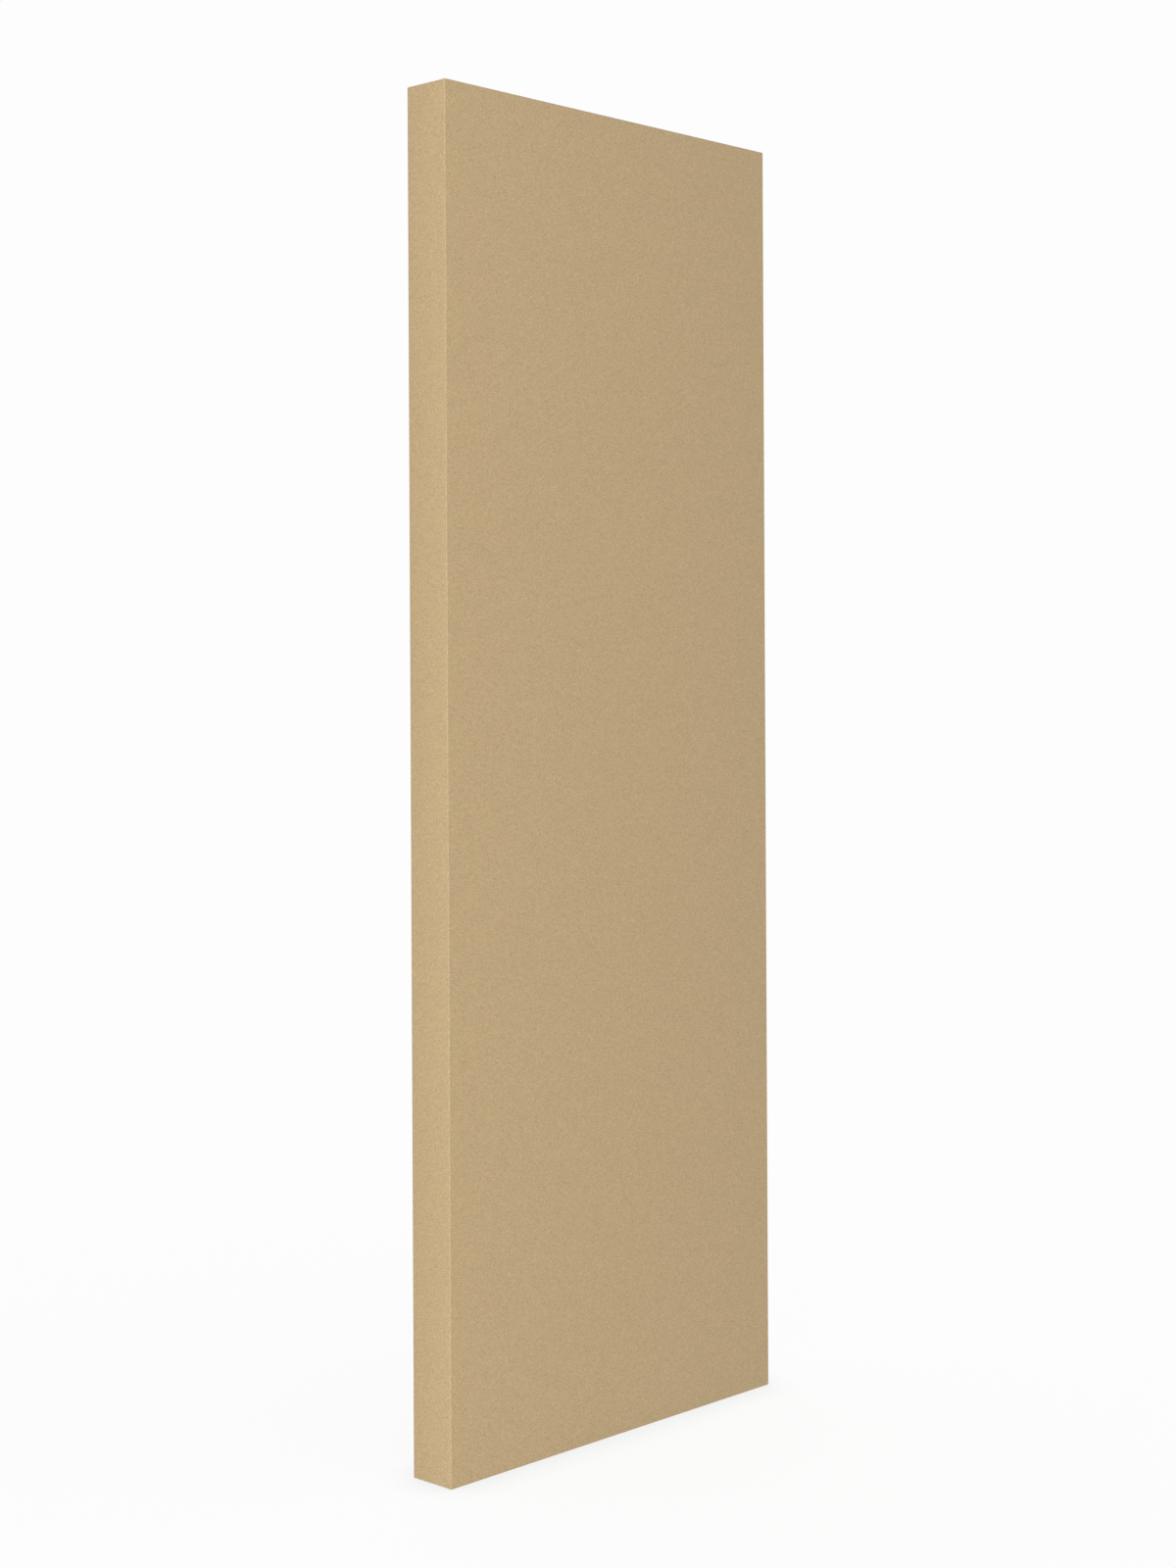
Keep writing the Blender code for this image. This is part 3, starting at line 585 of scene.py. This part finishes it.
def woven_cloth(name):
    """Plain weave of heathered yarn, drawn on the flat cut so that it follows the cloth round edges."""
    made, place = new_finish(name)
    cut = place.node("ShaderNodeUVMap", {"uv_map": "cut"})
    sway = noise(cut, 240.0, 1.0).other("Color")
    swaying = {0: sway, 1: (YARN_SWAY, YARN_SWAY, 0), 2: cut}
    swayed = cut.node("ShaderNodeVectorMath", {"operation": "MULTIPLY_ADD"}, swaying)
    swayed_x = swayed.node("ShaderNodeSeparateXYZ", inputs={0: swayed}, output="X")
    x = swayed_x / YARN_SPACING
    y = swayed_x.other("Y") / YARN_SPACING
    warp_number = x.math("FLOOR", x)
    weft_number = y.math("FLOOR", y)
    weft_over = (warp_number + weft_number) % 2.0
    warp_over = 1.0 - weft_over
    yarn = warp_number * warp_over + (weft_number + 0.5) * weft_over
    along = y * warp_over + x * weft_over
    across = (x - warp_number) * warp_over + (y - weft_number) * weft_over
    along_float = (y - weft_number) * warp_over + (x - warp_number) * weft_over
    bulge = x.math("SINE", along_float * math.pi)
    height = x.math("SINE", across * math.pi) * (YARN_ENDS + bulge * (1 - YARN_ENDS))
    dyed = {0: along * SHADES_ALONG, 1: yarn * YARN_APART}
    heather = noise(x.node("ShaderNodeCombineXYZ", inputs=dyed), 1.0, 1.0)
    twist = x.math("SINE", (along * TWIST_ALONG + across * TWIST_ACROSS + heather) * math.tau)
    slub = noise(stretched(cut, (1.0, 14.0, 1.0)), 90.0, 3.0)
    depth = place.node("ShaderNodeSeparateXYZ", inputs={0: place}, output="Y")
    # Painted shade: a share that grows towards the back and darkens the cloth's colour.
    painted_rear_shade = (depth - cover_low.y) / cover_depth
    melange = CLOTH_TONE - HEATHER / 2 + heather * HEATHER + slub * SLUB_SHADE + twist * TWIST_SHADE
    # Painted shade in the hollows between yarns, lighter on the yarns' crowns.
    painted_hollows = 1.0 - HOLLOW_PAINTED_SHADE + height * (2 * HOLLOW_PAINTED_SHADE)
    # Paler tone along the arrises: rubbed cloth and a painted highlight.
    rubbed_and_highlit = along_arrises(place, cover_low, cover_high, CLOTH_ARRIS)
    tone = melange * painted_hollows * (1.0 - painted_rear_shade * REARWARD_PAINTED_SHADE)
    shaded(
        toned(blend(rubbed_and_highlit, CLOTH_COLOUR, CLOTH_RUBBED_AND_HIGHLIT), tone),
        0.88 + heather * 0.12,
        height + heather * 0.3 + twist * 0.08,
        YARN_RELIEF,
        Specular_IOR_Level=0.2,
        Sheen_Weight=0.12,
        Sheen_Roughness=0.5,
    )
    return made


half_width = cover_high.x
half_height = (cover_high.z - cover_low.z) / 2
middle_height = (cover_low.z + cover_high.z) / 2
bpy.ops.object.select_all(action="DESELECT")
bpy.ops.mesh.primitive_cube_add(size=1, location=(cover_low + cover_high) / 2)
cover = newest("stretched_cloth", cover_high - cover_low)
edit(cover)
choose(cover, "FACE", lambda face: face.normal.y > 0.5)
bpy.ops.mesh.inset(thickness=CLOTH_TURN)
bpy.ops.mesh.delete(type="FACE")
choose(cover, "EDGE", lambda edge: edge.is_manifold and edge.calc_face_angle() > 1.0)
bpy.ops.mesh.bevel(offset=CLOTH_ARRIS, segments=4, profile=0.5)
slice_across(0, even_places(cover_low.x, cover_high.x, CLOTH_CELL))
slice_across(2, even_places(cover_low.z, cover_high.z, CLOTH_CELL))
slice_across(1, even_places(cover_low.y, cover_high.y, CLOTH_CELL / 3))
fold_line = half_width - FOLD_INSET
at_fold = [fold_line - inward for inward in (-FOLD_STEP, 0.0, FOLD_STEP, FOLD_REACH / 4, FOLD_REACH / 2)]


def beside_fold(face):
    """Faces on the top and the bottom, the rounded edges among them."""
    return abs(face.calc_center_median().z - middle_height) > half_height - CLOTH_ARRIS


slice_across(0, at_fold + [-place for place in at_fold], beside_fold)
bm = bmesh.from_edit_mesh(cover.data)
for vert in bm.verts:
    from_end = half_height - abs(vert.co.z - middle_height)
    if from_end > CLOTH_ARRIS:
        continue
    outward = math.copysign(1.0, vert.co.z - middle_height)
    share = 1.0 - from_end / CLOTH_ARRIS
    share *= ease((vert.co.y - cover_low.y) / FOLD_START)
    beyond = abs(vert.co.x) - fold_line
    if abs(beyond) < FOLD_STEP / 2:
        vert.co.z -= outward * share * (FOLD_SINK + FOLD_SLIT)
    elif beyond > 0:
        vert.co.z -= outward * share * FOLD_SINK
    elif outward > 0:
        vert.co.z += share * FOLD_RISE * ease(1.0 + (beyond + FOLD_STEP) / FOLD_REACH)
cut_layer = bm.loops.layers.uv.new("cut")
for face in bm.faces:
    centre = face.calc_center_median()
    from_side = half_width - abs(centre.x)
    from_end = half_height - abs(centre.z - middle_height)
    for loop in face.loops:
        x, y, z = loop.vert.co
        z -= middle_height
        from_front = y - cover_low.y
        behind = 1.0 if y > 0 else -1.0
        if from_side < from_end:
            x = math.copysign(half_width + from_front + behind * (half_width - abs(x)), x)
        else:
            z = math.copysign(half_height + from_front + behind * (half_height - abs(z)), z)
        loop[cut_layer].uv = (x, z)
bmesh.update_edit_mesh(cover.data)
leave_edit()
modify(cover, "SOLIDIFY", thickness=CLOTH, offset=-1.0)
soften(cover, 50)
modify(cover, "WEIGHTED_NORMAL", keep_sharp=True)
put(cover, woven_cloth("camel_plain_weave"), "camel_cloth", "panel", "fabric_cover")

# Staples: fine wire, 10 mm crown, shot through the turned-in cloth and later through the dust cover.
# Each stands a little askew, as from a hand tacker.
STAPLE_CROWN = 10 * MM
STAPLE_WIRE = 0.6 * MM
STAPLE_WIDTH = 1.0 * MM
STAPLE_LEG = 6 * MM
STAPLE_SWING = math.radians(7)
STAPLE_ROUNDING = 0.45
CLOTH_STAPLE_INSET = 14 * MM
CLOTH_STAPLE_SPACING = 45 * MM
CLOTH_STAPLE_SINK = 0.35 * MM
CLEAR_OF_STRAP = 7 * MM
CLEAR_OF_BUMPER = 16 * MM
WIRE_LIGHT = (0.46, 0.47, 0.48, 1)
WIRE_DULL = (0.27, 0.27, 0.28, 1)
staple_wire = plated("galvanised_wire", WIRE_LIGHT, WIRE_DULL, roughness=0.38)


def staple_model():
    """A staple whose crown lies along X, with its underside at y = 0 and its legs towards -Y."""
    bpy.ops.object.select_all(action="DESELECT")
    bpy.ops.mesh.primitive_cube_add(size=1, location=(0, STAPLE_WIRE / 2, 0))
    made = newest("staple_model", (STAPLE_CROWN, STAPLE_WIRE, STAPLE_WIDTH))
    edit(made)
    leg_place = STAPLE_CROWN / 2 - STAPLE_WIRE
    slice_across(0, (-leg_place, leg_place))

    def under_end(face):
        return face.normal.y < -0.5 and abs(face.calc_center_median().x) > leg_place

    def over_end(edge):
        return all(vert.co.y > 0.9 * STAPLE_WIRE and abs(vert.co.x) > leg_place for vert in edge.verts)

    choose(made, "FACE", under_end)
    extrude((0, -STAPLE_LEG, 0))
    choose(made, "EDGE", over_end)
    bpy.ops.mesh.bevel(offset=STAPLE_ROUNDING * STAPLE_WIRE, segments=2, profile=0.5)
    leave_edit()
    return made


def shoot_staples(name, places, surface):
    """One object that holds a staple at each (x, z, angle) place on a surface at this depth."""
    model = staple_model()
    shot = []
    for x, z, angle in places:
        swing = random.uniform(-STAPLE_SWING, STAPLE_SWING)
        turn = Matrix.Rotation(angle + swing, 4, "Y")
        shot.append(copy_to(model, name, Matrix.Translation((x, surface, z)) @ turn))
    bpy.data.objects.remove(model)
    only(shot[0])
    for piece in shot:
        piece.select_set(True)
    bpy.ops.object.join()
    made = bpy.context.active_object
    made.name = made.data.name = name
    soften(made, 40)
    put(made, staple_wire, "zinc_plate", "panel")


def staple_places(inset, spacing, keep_clear):
    """Places along the four edges of the back, a spacing apart and clear of what is screwed on."""
    places = []
    x = half_width - inset
    z_low = cover_low.z + inset
    z_high = cover_high.z - inset
    for z in even_places(z_low, z_high, spacing):
        if all(abs(z - other) > reach for other, reach in keep_clear):
            places += [(-x, z, math.pi / 2), (x, z, math.pi / 2)]
    for along in even_places(-x, x, spacing):
        places += [(along, z_low, 0.0), (along, z_high, 0.0)]
    return places


hanger_low, hanger_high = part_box("hanger_strap_left")
fixed = [((hanger_low.z + hanger_high.z) / 2, (hanger_high.z - hanger_low.z) / 2 + CLEAR_OF_STRAP)]
for end in ("bottom", "top"):
    bumper_low, bumper_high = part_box(f"wall_bumper_{end}_left")
    fixed.append(((bumper_low.z + bumper_high.z) / 2, CLEAR_OF_BUMPER))
cloth_staples = staple_places(CLOTH_STAPLE_INSET, CLOTH_STAPLE_SPACING, fixed)
shoot_staples("cloth_staples", cloth_staples, cover_high.y - CLOTH_STAPLE_SINK)

# Dust cover: black spun-bonded sheet with a fine embossed dot pattern, its edges turned under 10 mm.
# It is stapled over the turned-in cloth, dips a little between the stiles and scallops between staples.
HEM = 10 * MM
SHEET = 0.2 * MM
SHEET_CELL = 7 * MM
SAG = 0.75 * MM
SAG_REACH = 70 * MM
DIMPLE = 0.22 * MM
DIMPLE_RADIUS = 7 * MM
SCALLOP = 0.10 * MM
SCALLOP_REACH = 45 * MM
DUST_STAPLE_INSET = 12 * MM
DUST_STAPLE_SPACING = 95 * MM
DUST_STAPLE_SINK = 0.15 * MM
DOT_SPACING = 1.6 * MM
BLACK_SHEET = (0.005, 0.005, 0.006, 1)
WORN_SHEET = (0.060, 0.060, 0.063, 1)


def spun_sheet(name):
    """Fused black fibres, pressed flat in rows of small dots."""
    made, place = new_finish(name)
    cloud = noise(place, 40.0, 4.0)
    fibre = noise(stretched(place, (1.0, 1.0, 0.25)), 1800.0, 3.0, 0.7)
    x = place.node("ShaderNodeSeparateXYZ", inputs={0: place}, output="X")
    z = x.other("Z")
    row = x.math("FLOOR", z / DOT_SPACING)
    across = x.math("COSINE", (x / DOT_SPACING + row % 2.0 * 0.5) * math.tau)
    along = x.math("COSINE", z / DOT_SPACING * math.tau + math.pi)
    dot = x.math("MAXIMUM", 0.0, across + along - 0.9)
    share = (fibre * 0.6 + cloud * 0.5) * (1.0 - dot * 0.7)
    sheen = 0.85 - dot * 0.35
    height = fibre * 0.4 - dot
    shaded(blend(share, BLACK_SHEET, WORN_SHEET), sheen, height, 0.12 * MM, Specular_IOR_Level=0.25)
    return made


low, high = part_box("dust_cover")
sheet_width = high.x - low.x
sheet_height = high.z - low.z
sheet_middle = (low.z + high.z) / 2
outer_layer = high.y - SHEET / 2
under_layer = low.y + SHEET / 2
dust_staples = staple_places(DUST_STAPLE_INSET, DUST_STAPLE_SPACING, fixed)
bpy.ops.object.select_all(action="DESELECT")
bpy.ops.mesh.primitive_grid_add(
    x_subdivisions=round(sheet_width / SHEET_CELL),
    y_subdivisions=round(sheet_height / SHEET_CELL),
    size=1,
    location=(0, outer_layer, sheet_middle),
    rotation=(-math.pi / 2, 0, 0),
)
sheet = newest("spun_dust_sheet", (sheet_width, sheet_height, 1))
edit(sheet)
choose(sheet, "EDGE", lambda edge: edge.is_boundary)
bpy.ops.mesh.extrude_edges_move(TRANSFORM_OT_translate={"value": (0, under_layer - outer_layer, 0)})
turned_share = (1 - 2 * HEM / sheet_width, 1, 1 - 2 * HEM / sheet_height)
bpy.ops.mesh.extrude_edges_move()
bpy.ops.transform.resize(value=turned_share, center_override=(0, under_layer, sheet_middle))
bm = bmesh.from_edit_mesh(sheet.data)
opening_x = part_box("stile_right")[0].x
opening_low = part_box("rail_bottom")[1].z
opening_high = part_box("rail_top")[0].z
for vert in bm.verts:
    x, y, z = vert.co
    inside = min(opening_x - abs(x), z - opening_low, opening_high - z)
    vert.co.y -= SAG * ease(inside / SAG_REACH)
    nearest = min(math.hypot(x - staple_x, z - staple_z) for staple_x, staple_z, angle in dust_staples)
    vert.co.y -= DIMPLE * math.exp(-((nearest / DIMPLE_RADIUS) ** 2))
    from_edge = min(high.x - abs(x), z - low.z, high.z - z)
    if inside < 0:
        vert.co.y += SCALLOP * ease(nearest / SCALLOP_REACH) * ease(from_edge / HEM)
bmesh.update_edit_mesh(sheet.data)
leave_edit()
modify(sheet, "SOLIDIFY", thickness=SHEET, offset=0.0)
soften(sheet, 50)
put(sheet, spun_sheet("black_spun_sheet"), "black_backing", "panel", "dust_cover")
shoot_staples("dust_cover_staples", dust_staples, high.y - DUST_STAPLE_SINK)

# Hangers: a zinc-plated steel strap folded flat on itself round the bar of a wire D-ring.
# Two pan-head screws hold each strap to its stile, and the ring hangs down over it and swings up.
HANGER_SCREW = {"head": 6.0 * MM, "shank": 3.0 * MM, "length": 16 * MM, "pan_height": 1.9 * MM}
STRAP = 0.9 * MM
STRAP_GAP = 0.3 * MM
STRAP_END = 0.49
STRAP_BURR = 0.12 * MM
NEAR = 0.1 * MM
BORE_RADIUS = 1.8 * MM
BORE_LENGTH = 8 * MM
FOLD_ANGLE = math.radians(60)
JOGGLE = 1.2 * MM
WIRE = 2.2 * MM
WIRE_SIDES = 16
RING_BEND = 2.0 * MM
RING_LEG = 7.0 * MM
RING_SEAM = 0.05 * MM
EYE_STEPS = 20
JOGGLE_STEPS = 8
CORNER_STEPS = 6
BOW_STEPS = 24
ZINC_LIGHT = (0.62, 0.63, 0.65, 1)
ZINC_DULL = (0.38, 0.39, 0.41, 1)
zinc = plated("zinc_plate_bright", ZINC_LIGHT, ZINC_DULL, roughness=0.20)


def bend(steps, angle, centre, axis):
    """In edit mode, sweeps the chosen face round an arc."""
    bpy.ops.mesh.spin(steps=steps, angle=angle, center=centre, axis=axis)


def make_strap(side):
    """The strap, drawn from its lower inner end up, round the eye and down over itself."""
    low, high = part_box("hanger_strap_" + side)
    x = (low.x + high.x) / 2
    width = high.x - low.x
    standoff = (high.y - low.y) / 2
    eye = Vector((x, low.y + standoff, high.z - standoff))
    bpy.ops.object.select_all(action="DESELECT")
    bpy.ops.mesh.primitive_plane_add(size=1, location=(x, low.y + STRAP / 2, low.z))
    strap = newest("folded_strap_" + side, (width, STRAP, 1))
    edit(strap)
    bpy.ops.mesh.select_all(action="SELECT")
    extrude((0, 0, eye.z - low.z))
    bend(EYE_STEPS, math.pi + FOLD_ANGLE, eye, (1, 0, 0))
    mean = standoff - STRAP / 2
    outer_leaf = 1.5 * STRAP + STRAP_GAP
    start_depth = standoff + mean * math.cos(FOLD_ANGLE)
    end_depth = outer_leaf + JOGGLE * (1 - math.cos(FOLD_ANGLE))
    slope = (start_depth - end_depth) / math.sin(FOLD_ANGLE)
    extrude((0, -slope * math.sin(FOLD_ANGLE), -slope * math.cos(FOLD_ANGLE)))
    end_height = eye.z - mean * math.sin(FOLD_ANGLE) - slope * math.cos(FOLD_ANGLE)
    centre_depth = low.y + end_depth + JOGGLE * math.cos(FOLD_ANGLE)
    centre = Vector((x, centre_depth, end_height - JOGGLE * math.sin(FOLD_ANGLE)))
    bend(JOGGLE_STEPS, FOLD_ANGLE, centre, (-1, 0, 0))
    extrude((0, 0, low.z - centre.z))
    bpy.ops.mesh.select_all(action="SELECT")
    bpy.ops.mesh.normals_make_consistent(inside=False)

    def end_corner(edge):
        at_end = all(vert.co.z < low.z + NEAR for vert in edge.verts)
        return at_end and abs(edge.verts[0].co.x - edge.verts[1].co.x) < NEAR

    choose(strap, "EDGE", end_corner)
    bpy.ops.mesh.bevel(offset=STRAP_END * width, segments=8, profile=0.5)
    leave_edit()
    for row in ("upper", "lower"):
        screw_low, screw_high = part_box(f"hanger_screw_{side}_{row}")
        bpy.ops.mesh.primitive_cylinder_add(
            vertices=SCREW_SIDES,
            radius=BORE_RADIUS,
            depth=BORE_LENGTH,
            location=(x, low.y, (screw_low.z + screw_high.z) / 2),
            rotation=(math.pi / 2, 0, 0),
        )
        hole = newest("hole")
        modify(strap, "BOOLEAN", operation="DIFFERENCE", solver="EXACT", object=hole)
        bpy.data.objects.remove(hole)
    sharp = math.radians(50)
    modify(strap, "BEVEL", width=STRAP_BURR, segments=2, limit_method="ANGLE", angle_limit=sharp)
    soften(strap, 35)
    put(strap, zinc, "zinc_plate", "panel", "hanger_strap_" + side)


def make_ring(side, joint):
    """The wire ring, bent from the middle of its bar all the way round, with a butt joint there."""
    low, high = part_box("hanger_ring_" + side)
    eye = Vector(joint["pos_m"])
    half_bar = (high.x - low.x - WIRE) / 2 - RING_BEND
    bpy.ops.object.select_all(action="DESELECT")
    bpy.ops.mesh.primitive_circle_add(
        vertices=WIRE_SIDES,
        radius=WIRE / 2,
        fill_type="NGON",
        location=eye + Vector((RING_SEAM, 0, 0)),
        rotation=(0, math.pi / 2, 0),
    )
    ring = newest("wire_ring_" + side)
    edit(ring)
    bpy.ops.mesh.select_all(action="SELECT")
    across = (0, -1, 0)
    extrude((half_bar - RING_SEAM, 0, 0))
    bend(CORNER_STEPS, math.pi / 2, eye + Vector((half_bar, 0, -RING_BEND)), across)
    extrude((0, 0, -RING_LEG))
    bend(BOW_STEPS, math.pi, eye + Vector((0, 0, -RING_BEND - RING_LEG)), across)
    extrude((0, 0, RING_LEG))
    bend(CORNER_STEPS, math.pi / 2, eye + Vector((-half_bar, 0, -RING_BEND)), across)
    extrude((half_bar - RING_SEAM, 0, 0))
    bpy.ops.mesh.select_all(action="SELECT")
    bpy.ops.mesh.normals_make_consistent(inside=False)
    leave_edit()
    lean = math.atan2(high.y - WIRE / 2 - eye.y, eye.z - WIRE / 2 - low.z)
    turn = Matrix.Translation(eye) @ Matrix.Rotation(lean, 4, "X") @ Matrix.Translation(-eye)
    ring.data.transform(turn)
    soften(ring, 40)
    put(ring, zinc, "zinc_plate", "ring_" + side, "hanger_ring_" + side)


for side in ("left", "right"):
    make_strap(side)
    make_ring(side, next(joint for joint in frame["joints"] if joint["child"] == "ring_" + side))
drive_screws("hanger_screw", zinc, "zinc_plate", HANGER_SCREW)

# Wall bumpers: moulded black rubber feet near the corners, which hold the panel off the wall.
# A pan-head screw in each one's counterbore holds it to the stile.
BUMPER_SCREW = {"head": 5.4 * MM, "shank": 3.0 * MM, "length": 16 * MM, "pan_height": 1.7 * MM}
BUMPER_SIDES = 48
BUMPER_RADIUS = 6.25 * MM
BUMPER_TAPER = 0.75 * MM
BUMPER_EDGE = 0.8 * MM
WELL_RADIUS = 3.3 * MM
WELL_DEPTH = 3.0 * MM
RUBBER_BLACK = (0.022, 0.022, 0.023, 1)
RUBBER_GREY = (0.055, 0.054, 0.052, 1)


def moulded_rubber(name):
    """Matt rubber with a fine moulded grain and a trace of dust."""
    made, place = new_finish(name)
    grain = noise(place, 3200.0, 3.0)
    dust = noise(place, 420.0, 4.0, 0.6) ** 3.0
    shaded(blend(dust * 1.5, RUBBER_BLACK, RUBBER_GREY), 0.62 + dust * 0.3, grain + dust, 0.05 * MM)
    return made


rubber = moulded_rubber("moulded_black_rubber")
for side in ("left", "right"):
    for end in ("bottom", "top"):
        low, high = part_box(f"wall_bumper_{end}_{side}")
        centre = (low + high) / 2
        bpy.ops.object.select_all(action="DESELECT")
        bpy.ops.mesh.primitive_cylinder_add(
            vertices=BUMPER_SIDES,
            radius=BUMPER_RADIUS,
            depth=high.y - low.y,
            location=centre,
            rotation=(math.pi / 2, 0, 0),
        )
        bumper = newest(f"rubber_bumper_{end}_{side}")
        edit(bumper)
        choose(bumper, "VERT", lambda vert: vert.co.y > centre.y)
        top_share = 1 - BUMPER_TAPER / BUMPER_RADIUS
        bpy.ops.transform.resize(value=(top_share, 1, top_share), center_override=centre)
        choose(bumper, "EDGE", lambda edge: all(vert.co.y > centre.y for vert in edge.verts))
        bpy.ops.mesh.bevel(offset=BUMPER_EDGE, segments=6, profile=0.5)
        choose(bumper, "FACE", lambda face: face.normal.y > 0.999)
        bpy.ops.mesh.inset(thickness=BUMPER_RADIUS - BUMPER_TAPER - BUMPER_EDGE - WELL_RADIUS)
        extrude((0, -WELL_DEPTH, 0))
        bpy.ops.mesh.inset(thickness=WELL_RADIUS - BORE_RADIUS)
        bpy.ops.mesh.delete(type="FACE")
        choose(bumper, "FACE", lambda face: face.normal.y < -0.999)
        bpy.ops.mesh.inset(thickness=BUMPER_RADIUS - BORE_RADIUS)
        bpy.ops.mesh.delete(type="FACE")
        choose(bumper, "EDGE", lambda edge: edge.is_boundary)
        bpy.ops.mesh.bridge_edge_loops()
        leave_edit()
        soften(bumper, 40)
        put(bumper, rubber, "black_rubber", "panel", f"wall_bumper_{end}_{side}")
drive_screws("bumper_screw", zinc, "zinc_plate", BUMPER_SCREW)

# Studio: a pale floor under an even white surround, with one tall soft light to the left of the front.
# The light leaves the floor out, so the floor keeps one tone as far as the horizon, apart from
# a faint wide shade round the panel's foot and a narrow painted shadow close to it, in the floor's glow.
FLOOR_SIZE = 200.0
SURROUND = 0.982
FLOOR_COLOUR = 0.08
FOOT_SHADE = 0.17
FOOT_SHADE_REACH = 0.04
KEY_AZIMUTH = math.radians(32)
KEY_DISTANCE = 1.9
KEY_SIZE = (0.9, 5.0)
KEY_POWER = 56.0

bpy.ops.object.select_all(action="DESELECT")
bpy.ops.mesh.primitive_plane_add(size=FLOOR_SIZE, location=(0, 0, 0))
floor = newest("studio_floor")
floor_finish, place = new_finish("pale_floor")
glow = SURROUND * (1 - FLOOR_COLOUR)
# Painted shadow: the floor's glow is darkened near the panel's foot by an occlusion reading.
in_open = place.node("ShaderNodeAmbientOcclusion", {"samples": 6}, {"Distance": FOOT_SHADE_REACH}, "AO")
glow_with_painted_shadow = (in_open * FOOT_SHADE + (1 - FOOT_SHADE)) * glow
glow_colour_with_painted_shadow = place.node("ShaderNodeCombineColor", inputs={0: glow_with_painted_shadow, 1: glow_with_painted_shadow, 2: glow_with_painted_shadow})
floor_shader = place.node(
    "ShaderNodeBsdfPrincipled",
    inputs={
        "Base Color": (FLOOR_COLOUR, FLOOR_COLOUR, FLOOR_COLOUR, 1),
        "Roughness": 1.0,
        "Specular IOR Level": 0.0,
        "Emission Color": glow_colour_with_painted_shadow,
        "Emission Strength": 1.0,
    },
)
place.node("ShaderNodeOutputMaterial", inputs={"Surface": floor_shader})
floor.data.materials.append(floor_finish)

world = bpy.data.worlds.new("studio_surround")
bpy.context.scene.world = world
world.use_nodes = True
world.node_tree.nodes["Background"].inputs["Color"].default_value = (SURROUND, SURROUND, SURROUND, 1)

panel_middle = Vector((0, 0, middle_height))
from_panel = Vector((-math.cos(KEY_AZIMUTH), -math.sin(KEY_AZIMUTH), 0))
bpy.ops.object.light_add(type="AREA", location=panel_middle + from_panel * KEY_DISTANCE)
key = bpy.context.active_object
key.rotation_euler = (-from_panel).to_track_quat("-Z", "Y").to_euler()
key.data.shape = "RECTANGLE"
key.data.size, key.data.size_y = KEY_SIZE
key.data.energy = KEY_POWER
left_out = bpy.data.collections.new("left_out_of_key")
left_out.objects.link(floor)
key.light_linking.receiver_collection = left_out
key.light_linking.blocker_collection = left_out
left_out.collection_objects[0].light_linking.link_state = "EXCLUDE"
bpy.context.scene.view_settings.view_transform = "Standard"

# Camera: level, a little above the panel's middle and about 2.3 metres off, to the left of its front.
# A slight downward shift of the frame and a trace of roll match the photograph.
CAMERA_PLACE = Vector((-1.7104, -1.6069, 0.7151))
CAMERA_YAW = 0.81239
CAMERA_ROLL = -0.00466
CAMERA_LENS = 56.83
CAMERA_SHIFT = -0.07

bpy.ops.object.camera_add(location=CAMERA_PLACE, rotation=(math.pi / 2, -CAMERA_ROLL, -CAMERA_YAW))
camera = bpy.context.active_object
camera.data.lens = CAMERA_LENS
camera.data.shift_y = CAMERA_SHIFT
bpy.context.scene.camera = camera
